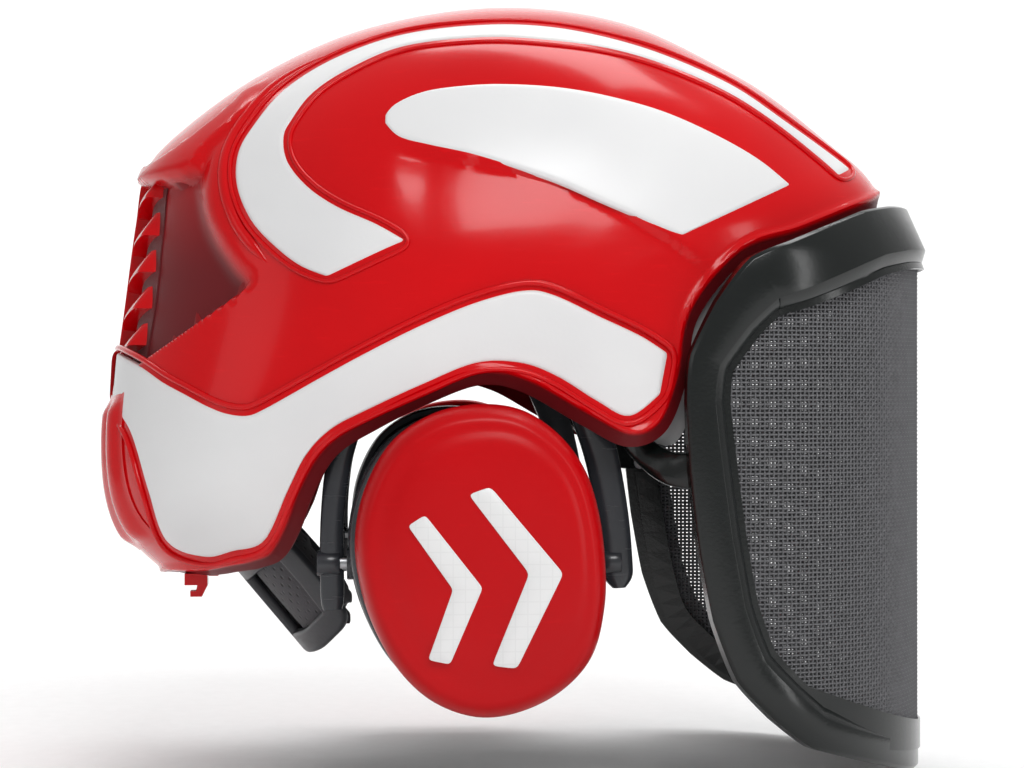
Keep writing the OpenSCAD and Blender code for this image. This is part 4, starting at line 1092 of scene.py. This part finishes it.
def panel_white(c):
    # ABS, satin moulded and clipped in: neutral white, broad soft highlights
    return moulded("abs_satin_white", c.panel, linear("#dadadb"), 0.34, 1.6, 0.15, 0.0, IOR=1.53)


def liner_grey(c):
    # HDPE, moulded: pale waxy grey with a fine dull grain
    return moulded("hdpe_pale_grey", c.liner, linear("#bdbdbe"), 0.48, 1.2, 0.35, 0.0, IOR=1.54)


def basket_grey(c):
    # Nylon 6, moulded: dark grey with a faint sheen along its rounded edges
    return moulded("nylon_dark_grey", c.basket, linear("#3a3b3f"), 0.40, 1.0, 0.3, 0.25, IOR=1.53)


def knob_black(c):
    # Nylon with a soft grained mould face: grippy dull black
    return moulded("nylon_grained_black", c.black, linear("#121314"), 0.52, 0.7, 0.6, 0.2,
                   IOR=1.53)


def frame_black(c):
    # Glass-filled nylon, moulded satin: near black, faintly green, bright only on its bevels
    return moulded("glass_nylon_satin_black", c.frame, linear("#0a0e0d"), 0.21, 1.3, 0.18, 0.0,
                   Specular_IOR_Level=0.4, Coat_Weight=0.1, Coat_Roughness=0.12)


def yoke_black(c):
    # Acetal, moulded: slippery dark grey with clear soft highlights
    return moulded("acetal_dark_grey", c.yoke, linear("#1d1e22"), 0.26, 1.6, 0.15, 0.2,
                   IOR=1.48, Coat_Weight=0.2, Coat_Roughness=0.12)


def cap_red(c):
    # ABS, satin moulded: a shade deeper than the shell, with one broad highlight
    return moulded("abs_satin_red", c.cap, linear("#b00008"), 0.32, 2.0, 0.12, 0.25,
                   Specular_IOR_Level=0.2)


def steel(c):
    # Mild steel, turned and zinc plated: bright with fine turning lines every 0.4 mm
    skin, tree, shader, place = blank("zinc_plated_steel", Metallic=1.0)
    lines = add(tree, "ShaderNodeTexNoise", {"Vector": place, "Scale": every(0.8), "Detail": 3.0})
    tone = add(tree, "ShaderNodeMix", {"Factor": lines.outputs["Fac"], "A": linear("#8f9194"),
                                       "B": linear("#c3c4c6")}, data_type="RGBA")
    gloss = add(tree, "ShaderNodeMapRange", {"Value": lines.outputs["Fac"], "To Min": 0.22,
                                             "To Max": 0.45})
    tree.links.new(tone.outputs["Result"], shader.inputs["Base Color"])
    tree.links.new(gloss.outputs[0], shader.inputs["Roughness"])
    return skin


def mesh_steel(c):
    # Stainless wire, woven and dipped black: dark grey with a dull metal glint on each crown
    skin, tree, shader, place = blank("dipped_wire_grey", Metallic=0.35)
    wear = add(tree, "ShaderNodeTexNoise", {"Vector": place, "Scale": every(4), "Detail": 3.0})
    tone = add(tree, "ShaderNodeMix", {"Factor": wear.outputs["Fac"], "A": c.wire,
                                       "B": linear("#77777a")}, data_type="RGBA")
    gloss = add(tree, "ShaderNodeMapRange", {"Value": wear.outputs["Fac"], "To Min": 0.38,
                                             "To Max": 0.6})
    tree.links.new(tone.outputs["Result"], shader.inputs["Base Color"])
    tree.links.new(gloss.outputs[0], shader.inputs["Roughness"])
    return skin


def pad_fabric(c):
    # Spacer fabric, warp knitted: small round holes 3 mm apart in a soft dark face
    skin, tree, shader, place = blank("spacer_knit_dark", Roughness=0.85, Sheen_Weight=0.25,
                                      Sheen_Roughness=0.5)
    cells = add(tree, "ShaderNodeTexVoronoi", {"Vector": place, "Scale": every(3),
                                               "Randomness": 0.12})
    yarn = add(tree, "ShaderNodeTexNoise", {"Vector": place, "Scale": every(0.8), "Detail": 3.0})
    hole = add(tree, "ShaderNodeMapRange", {"Value": cells.outputs["Distance"], "From Min": 0.12,
                                            "From Max": 0.34})
    knit = add(tree, "ShaderNodeMix", {"Factor": yarn.outputs["Fac"], "A": c.fabric,
                                       "B": linear("#4a474c")}, data_type="RGBA")
    tone = add(tree, "ShaderNodeMix", {"Factor": hole.outputs[0], "A": linear("#0b0a0c"),
                                       "B": knit.outputs["Result"]}, data_type="RGBA")
    high = add(tree, "ShaderNodeMath", {0: yarn.outputs["Fac"], 1: 0.35, 2: hole.outputs[0]},
               operation="MULTIPLY_ADD")
    bump = add(tree, "ShaderNodeBump", {"Height": high.outputs[0], "Strength": 0.7,
                                        "Distance": 0.0005})
    tree.links.new(tone.outputs["Result"], shader.inputs["Base Color"])
    tree.links.new(bump.outputs[0], shader.inputs["Normal"])
    return skin


def webbing_weave(c):
    # Polyester webbing, woven in a 2 mm herringbone: ribbed and dull
    skin, tree, shader, _ = blank("polyester_webbing_grey", Roughness=0.75, Sheen_Weight=0.2,
                                  Sheen_Roughness=0.5)
    across = add(tree, "ShaderNodeUVMap", uv_map="Cloth").outputs["UV"]
    parts = add(tree, "ShaderNodeSeparateXYZ", {"Vector": across})
    fold = add(tree, "ShaderNodeMath", {0: parts.outputs["X"], 1: 0.005}, operation="PINGPONG")
    slant = add(tree, "ShaderNodeMath", {0: fold.outputs[0], 1: parts.outputs["Y"]},
                operation="ADD")
    turns = add(tree, "ShaderNodeMath", {0: slant.outputs[0], 1: 2 * math.pi / 0.002},
                operation="MULTIPLY")
    wave = add(tree, "ShaderNodeMath", {0: turns.outputs[0]}, operation="SINE")
    tone = add(tree, "ShaderNodeMix", {"Factor": wave.outputs[0], "A": c.webbing,
                                       "B": linear("#4c4d52")}, data_type="RGBA")
    bump = add(tree, "ShaderNodeBump", {"Height": wave.outputs[0], "Strength": 0.6,
                                        "Distance": 0.0002})
    tree.links.new(tone.outputs["Result"], shader.inputs["Base Color"])
    tree.links.new(bump.outputs[0], shader.inputs["Normal"])
    return skin


def chevron_white(c):
    # Reflective film, embossed in a 4 mm honeycomb under a clear face: light grey, faint cells
    skin, tree, shader, place = blank("reflective_film_white", Roughness=0.3, Coat_Weight=0.3,
                                      Coat_Roughness=0.1)
    cells = add(tree, "ShaderNodeTexVoronoi", {"Vector": place, "Scale": every(4),
                                               "Randomness": 0.0}, feature="DISTANCE_TO_EDGE")
    line = add(tree, "ShaderNodeMapRange", {"Value": cells.outputs["Distance"], "From Max": 0.07})
    tone = add(tree, "ShaderNodeMix", {"Factor": line.outputs[0], "A": linear("#dfdfdf"),
                                       "B": c.chevron}, data_type="RGBA")
    tree.links.new(tone.outputs["Result"], shader.inputs["Base Color"])
    return skin


def foam(c):
    # Polyurethane foam, cut open-celled: matt near black, pitted every 1.2 mm
    skin, tree, shader, place = blank("open_cell_foam", Roughness=0.95)
    cells = add(tree, "ShaderNodeTexVoronoi", {"Vector": place, "Scale": every(1.2)})
    tone = add(tree, "ShaderNodeMix", {"Factor": cells.outputs["Distance"],
                                       "A": linear("#0c0c0d"), "B": c.foam}, data_type="RGBA")
    bump = add(tree, "ShaderNodeBump", {"Height": cells.outputs["Distance"], "Strength": 0.8,
                                        "Distance": 0.0006})
    tree.links.new(tone.outputs["Result"], shader.inputs["Base Color"])
    tree.links.new(bump.outputs[0], shader.inputs["Normal"])
    return skin


def cushion_black(c):
    # Vinyl over foam, embossed with a leather grain of 1.6 mm pebbles and a soft shine
    skin, tree, shader, place = blank("grained_vinyl_black", IOR=1.52)
    pebble = add(tree, "ShaderNodeTexVoronoi", {"Vector": place, "Scale": every(1.6)},
                 feature="SMOOTH_F1")
    crease = add(tree, "ShaderNodeTexNoise", {"Vector": place, "Scale": every(9), "Detail": 4.0})
    tone = add(tree, "ShaderNodeMix", {"Factor": crease.outputs["Fac"], "A": c.black,
                                       "B": linear("#2c2c2f")}, data_type="RGBA")
    gloss = add(tree, "ShaderNodeMapRange", {"Value": crease.outputs["Fac"], "To Min": 0.34,
                                             "To Max": 0.55})
    high = add(tree, "ShaderNodeMath", {0: pebble.outputs["Distance"], 1: crease.outputs["Fac"]},
               operation="ADD")
    bump = add(tree, "ShaderNodeBump", {"Height": high.outputs[0], "Strength": 0.45,
                                        "Distance": 0.0004})
    tree.links.new(tone.outputs["Result"], shader.inputs["Base Color"])
    tree.links.new(gloss.outputs[0], shader.inputs["Roughness"])
    tree.links.new(bump.outputs[0], shader.inputs["Normal"])
    return skin


def studio_paper(c):
    # Seamless background paper: matt and pale, a faint fibre mottle
    skin, tree, shader, place = blank("seamless_paper", Roughness=0.9)
    fibre = add(tree, "ShaderNodeTexNoise", {"Vector": place, "Scale": every(6), "Detail": 3.0})
    tone = add(tree, "ShaderNodeMix", {"Factor": fibre.outputs["Fac"], "A": c.paper,
                                       "B": linear("#fbfbfb")}, data_type="RGBA")
    tree.links.new(tone.outputs["Result"], shader.inputs["Base Color"])
    return skin


FINISHES = {"shell_red": shell_red, "vent_dark_red": vent_dark_red, "panel_white": panel_white,
            "liner_grey": liner_grey, "steel": steel, "basket_grey": basket_grey,
            "knob_black": knob_black, "pad_fabric": pad_fabric, "webbing": webbing_weave,
            "frame_black": frame_black, "mesh_steel": mesh_steel, "yoke_black": yoke_black,
            "cap_red": cap_red, "chevron_white": chevron_white, "foam": foam,
            "cushion_black": cushion_black, "paper": studio_paper}
_made = {}


def finish(slot):
    """The material of a slot, made the first time that it is asked for."""
    if slot not in _made:
        _made[slot] = FINISHES[slot](bpy.context.scene.helmet_colours)
    return _made[slot]


# ---- settings ---------------------------------------------------------------------------------
def length(name, mm, text):
    """Size property in metres, from mm."""
    return bpy.props.FloatProperty(name=name, description=text, default=mm * MM, unit="LENGTH",
                                   subtype="DISTANCE", min=0.0)


def tint(name, code, text):
    """Colour property from an sRGB hex value."""
    return bpy.props.FloatVectorProperty(name=name, description=text, default=linear(code),
                                         size=4, subtype="COLOR", min=0.0, max=1.0)


class HelmetSizes(bpy.types.PropertyGroup):
    """Sizes of the finished surfaces; the working frame fixes the rest"""
    shell_wall: length("Shell wall", 2.8, "Thickness of the outer shell")
    liner_gap: length("Inner shell gap", 12, "Distance from the outer skin to the inner shell")
    liner_wall: length("Inner shell wall", 2.4, "Thickness of the inner shell")
    panel_proud: length("Panel height", 0.5, "How far the white panels stand over the skin")
    bead: length("Bead radius", 1.1, "Radius of the bead round each side band")
    louvre_rise: length("Louvre rise", 5.6, "How far a louvre's lower edge stands off the vent")
    warp: length("Warp pitch", 1.7, "Distance between the upright wires of the visor")
    weft: length("Weft pitch", 1.45, "Distance between the level wires of the visor")
    wire_radius: length("Wire radius", 0.6, "Radius of a wire of the visor")
    pad_fill: length("Pad fill", 1.6, "Furthest that a pad's cover is blown out")
    louvres: bpy.props.IntProperty(name="Louvres", description="Arrow louvres in the rear vent",
                                   default=5, min=1, max=8)


class HelmetColours(bpy.types.PropertyGroup):
    """Main colour of each finish"""
    shell: tint("Shell", "#d60009", "Polished shell")
    shell_deep: tint("Shell, deeper", "#c00008", "Slow drift of the shell's red")
    # Vent: dark red that paints the shade on the vent floor, in the scoops and under the lip
    vent: tint("Vent", "#6a0d14", "Floor of the rear vent")
    panel: tint("Panels", "#e9e9e9", "Side bands, crown stripes and blades")
    liner: tint("Inner shell", "#c9c9c9", "Inner shell")
    cap: tint("Cups", "#c50009", "Ear cup caps")
    chevron: tint("Chevrons", "#e6e6e6", "Reflective chevrons")
    frame: tint("Visor frame", "#0f1413", "Visor frame, guard and arms")
    wire: tint("Visor wire", "#5e5e60", "Woven wire of the visor")
    yoke: tint("Yokes", "#35373c", "Yokes and cup backs")
    basket: tint("Head basket", "#2e2f33", "Headband, cradle and clips")
    fabric: tint("Pad fabric", "#2f2d30", "Knitted pads")
    webbing: tint("Webbing", "#2b2c30", "Crown straps")
    foam: tint("Foam", "#232325", "Foam in the cups")
    black: tint("Black trim", "#17181a", "Knob and ear cushions")
    paper: tint("Backdrop", "#f4f4f4", "Seamless paper")


# ---- operators --------------------------------------------------------------------------------
class Builds:
    """Shared by the operators: each builds its pieces and ends"""
    bl_options = {"REGISTER", "UNDO"}

    def execute(self, context):
        self.build(context.scene.helmet_sizes)
        return {"FINISHED"}


class HELMET_OT_outer_shell(Builds, bpy.types.Operator):
    """Outer shell: ridged, scooped at the rear quarters and turned in at its rim"""
    bl_idname, bl_label = "helmet.outer_shell", "Outer shell"

    def build(self, sizes):
        rows, halves = ((350, 112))
        form, shade_and_matt = shell_form(rows, halves, 8, sizes.shell_wall / MM)
        # Each point's share of painted shade rides on the shell as a vertex attribute
        piece("outer_shell_surface", [form], finish("shell_red"), "helmet", ["outer_shell"],
              crisp=38, shade_and_matt=shade_and_matt)


class HELMET_OT_inner_shell(Builds, bpy.types.Operator):
    """Inner shell, seen under the rim"""
    bl_idname, bl_label = "helmet.inner_shell", "Inner shell"

    def build(self, sizes):
        form = liner_form(sizes.liner_gap / MM, sizes.liner_wall / MM)
        piece("inner_shell_surface", [form], finish("liner_grey"), "helmet", ["inner_shell"],
              crisp=50)


class HELMET_OT_panels(Builds, bpy.types.Operator):
    """White side bands, crown stripes and blades, with the shell's beads round them"""
    bl_idname, bl_label = "helmet.panels", "Panels and beads"

    def build(self, sizes):
        proud = sizes.panel_proud / MM
        kinds = (("side_band", BAND_UPPER, BAND_LOWER, 170, sizes.bead / MM, 2.3),
                 ("crown_stripe", STRIPE_OUTER, STRIPE_INNER, 150, 0.8, 1.7),
                 ("blade_panel", BLADE_UPPER, BLADE_LOWER, 90, 0, 0))
        for name, side in SIDES:
            beads = [rear_rib(side)]
            for kind, upper, lower, rows, r, by in kinds:
                form = panel(upper, lower, side, proud, rows)
                piece(f"{kind}_{name}_surface", [form], finish("panel_white"), "helmet",
                      [f"{kind}_{name}"], crisp=60)
                if r:
                    beads.append(bead(border(upper, lower, by, 420), side, r, 0.15))
            piece(f"shell_beads_{name}", beads, finish("shell_red"), "helmet", ())


class HELMET_OT_rear_vent(Builds, bpy.types.Operator):
    """Arrow louvres over the dark floor of the rear vent, and the ridged V under them"""
    bl_idname, bl_label = "helmet.rear_vent", "Rear vent"

    def build(self, sizes):
        # The vent floor's dark red is painted shade
        floor = back_sheet(VENT_TURNS, (37, 44), (-5.5, -7.5), 0, 40, 41)
        piece("rear_vent_floor", [floor], finish("vent_dark_red"), "helmet",
              ["rear_vent_panel"], crisp=50)
        rise = sizes.louvre_rise / MM
        step = 29.0 / sizes.louvres
        forms = [louvre_form(157.5 + step * i, 33 + 1.6 * i, rise) for i in range(sizes.louvres)]
        forms.append(back_sheet((155, 185), (3, 3.6), (0.2, -6.0), 0, 30, 5))
        piece("rear_louvres", forms, finish("shell_red"), "helmet", ["vent_louvres"],
              crisp=40)
        piece("rear_bumper_surface", [rear_v()], finish("shell_red"), "helmet",
              ["rear_bumper"], crisp=60)


class HELMET_OT_visor_frame(Builds, bpy.types.Operator):
    """Bevelled frame of the visor"""
    bl_idname, bl_label = "helmet.visor_frame", "Visor frame"

    def build(self, sizes):
        piece("visor_frame_bar", [frame_form()], finish("frame_black"), "visor",
              ["visor_frame"], crisp=28)


class HELMET_OT_visor_mesh(Builds, bpy.types.Operator):
    """Woven wire of the visor and the guard across its chin"""
    bl_idname, bl_label = "helmet.visor_mesh", "Visor mesh and guard"

    def build(self, sizes):
        forms = woven_wire(sizes.warp / MM, sizes.weft / MM, sizes.wire_radius / MM, 0.28, 4.1)
        for name, form in zip(("weft", "warp"), forms):
            piece(f"visor_wire_{name}", [form], finish("mesh_steel"), "visor", ["visor_mesh"])
        low = lambda x: np.interp(x, *np.array(OPENING_LOW).T) - 2.5
        high = lambda x: np.maximum(np.interp(x, *np.array(GUARD_TOP).T), low(x) + 2)
        piece("chin_guard", [curved_sheet(2.3, 0.7, 80, low, high, 120, 8)],
              finish("frame_black"), "visor", ["bottom_guard"], crisp=50)


class HELMET_OT_visor_arms(Builds, bpy.types.Operator):
    """Hooked arms that carry the visor from its pivots between the shells"""
    bl_idname, bl_label = "helmet.visor_arms", "Visor arms"

    def build(self, sizes):
        for name, side in SIDES:
            piece(f"visor_arm_{name}_strap", arm_form(side), finish("frame_black"), "visor",
                  [f"visor_arm_{name}"], crisp=50)


class HELMET_OT_ear_caps(Builds, bpy.types.Operator):
    """Red caps of the ear cups with their reflective chevrons"""
    bl_idname, bl_label = "helmet.ear_caps", "Ear cup caps"

    def build(self, sizes):
        for name, side in SIDES:
            piece(f"cup_cap_{name}_surface", [cap_form(side)], finish("cap_red"),
                  f"ear_cup_{name}", [f"cup_cap_{name}"])
            forms = [chevron_form(line, side) for line in (CHEVRON_SMALL, CHEVRON_LARGE)]
            piece(f"chevrons_{name}_film", forms, finish("chevron_white"), f"ear_cup_{name}",
                  [f"chevrons_{name}"], crisp=40)


class HELMET_OT_cup_backs(Builds, bpy.types.Operator):
    """Black backs of the ear cups and the foam inside them"""
    bl_idname, bl_label = "helmet.cup_backs", "Ear cup backs"

    def build(self, sizes):
        for name, side in SIDES:
            piece(f"cup_back_{name}", back_form(side), finish("yoke_black"), f"ear_cup_{name}",
                  [f"cup_shell_{name}"], crisp=50)
            piece(f"cup_foam_{name}_tray", [foam_form(side)], finish("foam"),
                  f"ear_cup_{name}", [f"cup_foam_{name}"], crisp=60)


class HELMET_OT_yokes(Builds, bpy.types.Operator):
    """Yokes with a leg before and behind each cup"""
    bl_idname, bl_label = "helmet.yokes", "Yokes"

    def build(self, sizes):
        for name, side in SIDES:
            piece(f"yoke_{name}_arms", yoke_form(side), finish("yoke_black"),
                  f"yoke_arm_{name}", [f"yoke_{name}"], crisp=50)


class HELMET_OT_cushions(Builds, bpy.types.Operator):
    """Vinyl cushions round the ears"""
    bl_idname, bl_label = "helmet.cushions", "Ear cushions"

    def build(self, sizes):
        for name, side in SIDES:
            made = piece(f"ear_cushion_{name}_pad", [cushion_form(side)],
                         finish("cushion_black"), f"ear_cup_{name}", [f"ear_cushion_{name}"])
            swell(made, 0.3 * sizes.pad_fill, 0.003)


class HELMET_OT_basket(Builds, bpy.types.Operator):
    """Headband, crown straps and nape cradle"""
    bl_idname, bl_label = "helmet.basket", "Head basket"

    def build(self, sizes):
        piece("headband_strip", [band_form()], finish("basket_grey"), "helmet", ["headband"],
              crisp=50)
        forms, uv = straps_form()
        piece("crown_webbing", forms, finish("webbing"), "helmet", ["crown_straps"],
              crisp=50, uv=uv)
        piece("nape_loops", cradle_form(), finish("basket_grey"), "helmet", ["nape_cradle"],
              crisp=60)


class HELMET_OT_pads(Builds, bpy.types.Operator):
    """Knitted pads at the brow, crown and nape"""
    bl_idname, bl_label = "helmet.pads", "Pads"

    def build(self, sizes):
        for name, form in (("brow_pad", brow_pad_form()), ("crown_pad", crown_pad_form()),
                           ("nape_pad", nape_pad_form())):
            made = piece(f"{name}_cover", [form], finish("pad_fabric"), "helmet", [name])
            swell(made, 0.5 * sizes.pad_fill)


class HELMET_OT_adjuster(Builds, bpy.types.Operator):
    """Fluted knob that draws the nape strips in"""
    bl_idname, bl_label = "helmet.adjuster", "Adjuster knob"

    def build(self, sizes):
        piece("adjuster_knob_grip", [knob_form()], finish("knob_black"), "adjuster_knob",
              ["ratchet_knob"], crisp=60)


class HELMET_OT_fittings(Builds, bpy.types.Operator):
    """Finishes on the working parts that keep their own shapes"""
    bl_idname, bl_label = "helmet.fittings", "Fittings"

    def build(self, sizes):
        slots = {row["node"]: row["material_slot"] for row in frame["record"]["subparts"]}
        for node, made in frame["nodes"].items():
            made.data.materials.clear()
            made.data.materials.append(finish(slots[node]))


class HELMET_OT_stage(bpy.types.Operator):
    """Paper sweep, softboxes and camera"""
    bl_idname, bl_label = "helmet.stage", "Stage"

    def execute(self, context):
        scene = context.scene
        scene.view_settings.view_transform = "Standard"
        world = bpy.data.worlds.new("Studio")
        world.use_nodes = True
        world.node_tree.nodes["Background"].inputs["Color"].default_value = linear("#ffffff")
        world.node_tree.nodes["Background"].inputs["Strength"].default_value = 0.42
        scene.world = world
        paper_sweep()
        for name, at, to, wide, high, power in (
                ("Key", (0.25, -1.2, 1.1), (0.02, 0, 0.03), 0.8, 0.5, 11.0),
                ("Front strip", (1.05, -0.8, 0.3), (0.08, 0, -0.02), 0.15, 1.0, 2.2),
                ("Fill", (-1.4, -0.8, 0.5), (0, 0, 0), 0.6, 0.6, 0.9),
                ("Top", (0.25, 0.35, 1.35), (0, 0, 0.02), 1.0, 0.4, 7.0),
                ("Backdrop", (0, 1.3, 2.0), (0, 2.7, 0.5), 3.0, 0.5, 42.0)):
            lamp = bpy.data.lights.new(name, "AREA")
            lamp.shape, lamp.size, lamp.size_y, lamp.energy = "RECTANGLE", wide, high, power
            made = bpy.data.objects.new(name, lamp)
            made.location = at
            aim = mathutils.Vector(to) - mathutils.Vector(at)
            made.rotation_euler = aim.to_track_quat("-Z", "Y").to_euler()
            scene.collection.objects.link(made)
        lens = bpy.data.cameras.new("Camera")
        lens.lens, lens.sensor_width = 87.3, 36.0
        camera = bpy.data.objects.new("Camera", lens)
        camera.location = (-0.053, -0.9185, 0.0)
        camera.rotation_euler = (math.radians(90), 0, math.radians(-3.3))
        scene.collection.objects.link(camera)
        scene.camera = camera
        return {"FINISHED"}


def paper_sweep():
    """Floor 4 m wide that curves up into a wall behind on a quarter circle of 0.6 m."""
    a = np.linspace(0, np.pi / 2, 24)
    bend = np.stack([2.2 + 0.6 * np.sin(a), -0.1425 + 0.6 - 0.6 * np.cos(a)], 1)
    side_line = np.vstack([[[-2.5, -0.1425]], bend, [[2.8, 3.2]]])
    x = np.linspace(-4, 4, 9)
    p = np.stack([*np.broadcast_arrays(x[:, None], side_line[None, :, 0], side_line[None, :, 1])],
                 -1)
    v, f = lattice(p)
    mesh = bpy.data.meshes.new("paper_sweep")
    mesh.from_pydata(v.tolist(), [], f)
    mesh.polygons.foreach_set("use_smooth", [True] * len(f))
    mesh.materials.append(finish("paper"))
    made = bpy.data.objects.new("paper_sweep", mesh)
    bpy.context.scene.collection.objects.link(made)


OPERATORS = (HELMET_OT_outer_shell, HELMET_OT_inner_shell, HELMET_OT_panels,
             HELMET_OT_rear_vent, HELMET_OT_visor_frame, HELMET_OT_visor_mesh,
             HELMET_OT_visor_arms, HELMET_OT_ear_caps, HELMET_OT_cup_backs, HELMET_OT_yokes,
             HELMET_OT_cushions, HELMET_OT_basket, HELMET_OT_pads, HELMET_OT_adjuster,
             HELMET_OT_fittings, HELMET_OT_stage)


class HELMET_PT_build(bpy.types.Panel):
    """Lists the helmet's pieces, sizes and colours"""
    bl_idname, bl_label = "HELMET_PT_build", "Forestry Helmet"
    bl_space_type, bl_region_type, bl_category = "VIEW_3D", "UI", "Helmet"

    def draw(self, context):
        for group in (context.scene.helmet_sizes, context.scene.helmet_colours):
            box = self.layout.box()
            for name in group.__annotations__:
                box.prop(group, name)
        for kind in OPERATORS:
            self.layout.operator(kind.bl_idname)


CLASSES = (HelmetSizes, HelmetColours, *OPERATORS, HELMET_PT_build)


def register():
    """Registers the classes and the two groups of settings."""
    for kind in CLASSES:
        bpy.utils.register_class(kind)
    bpy.types.Scene.helmet_sizes = bpy.props.PointerProperty(type=HelmetSizes)
    bpy.types.Scene.helmet_colours = bpy.props.PointerProperty(type=HelmetColours)


def unregister():
    """Takes them off again."""
    del bpy.types.Scene.helmet_sizes, bpy.types.Scene.helmet_colours
    for kind in reversed(CLASSES):
        bpy.utils.unregister_class(kind)


def main():
    """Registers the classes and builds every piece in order."""
    register()
    for kind in OPERATORS:
        getattr(bpy.ops.helmet, kind.bl_idname.split(".")[1])()


if __name__ == "__main__":
    main()
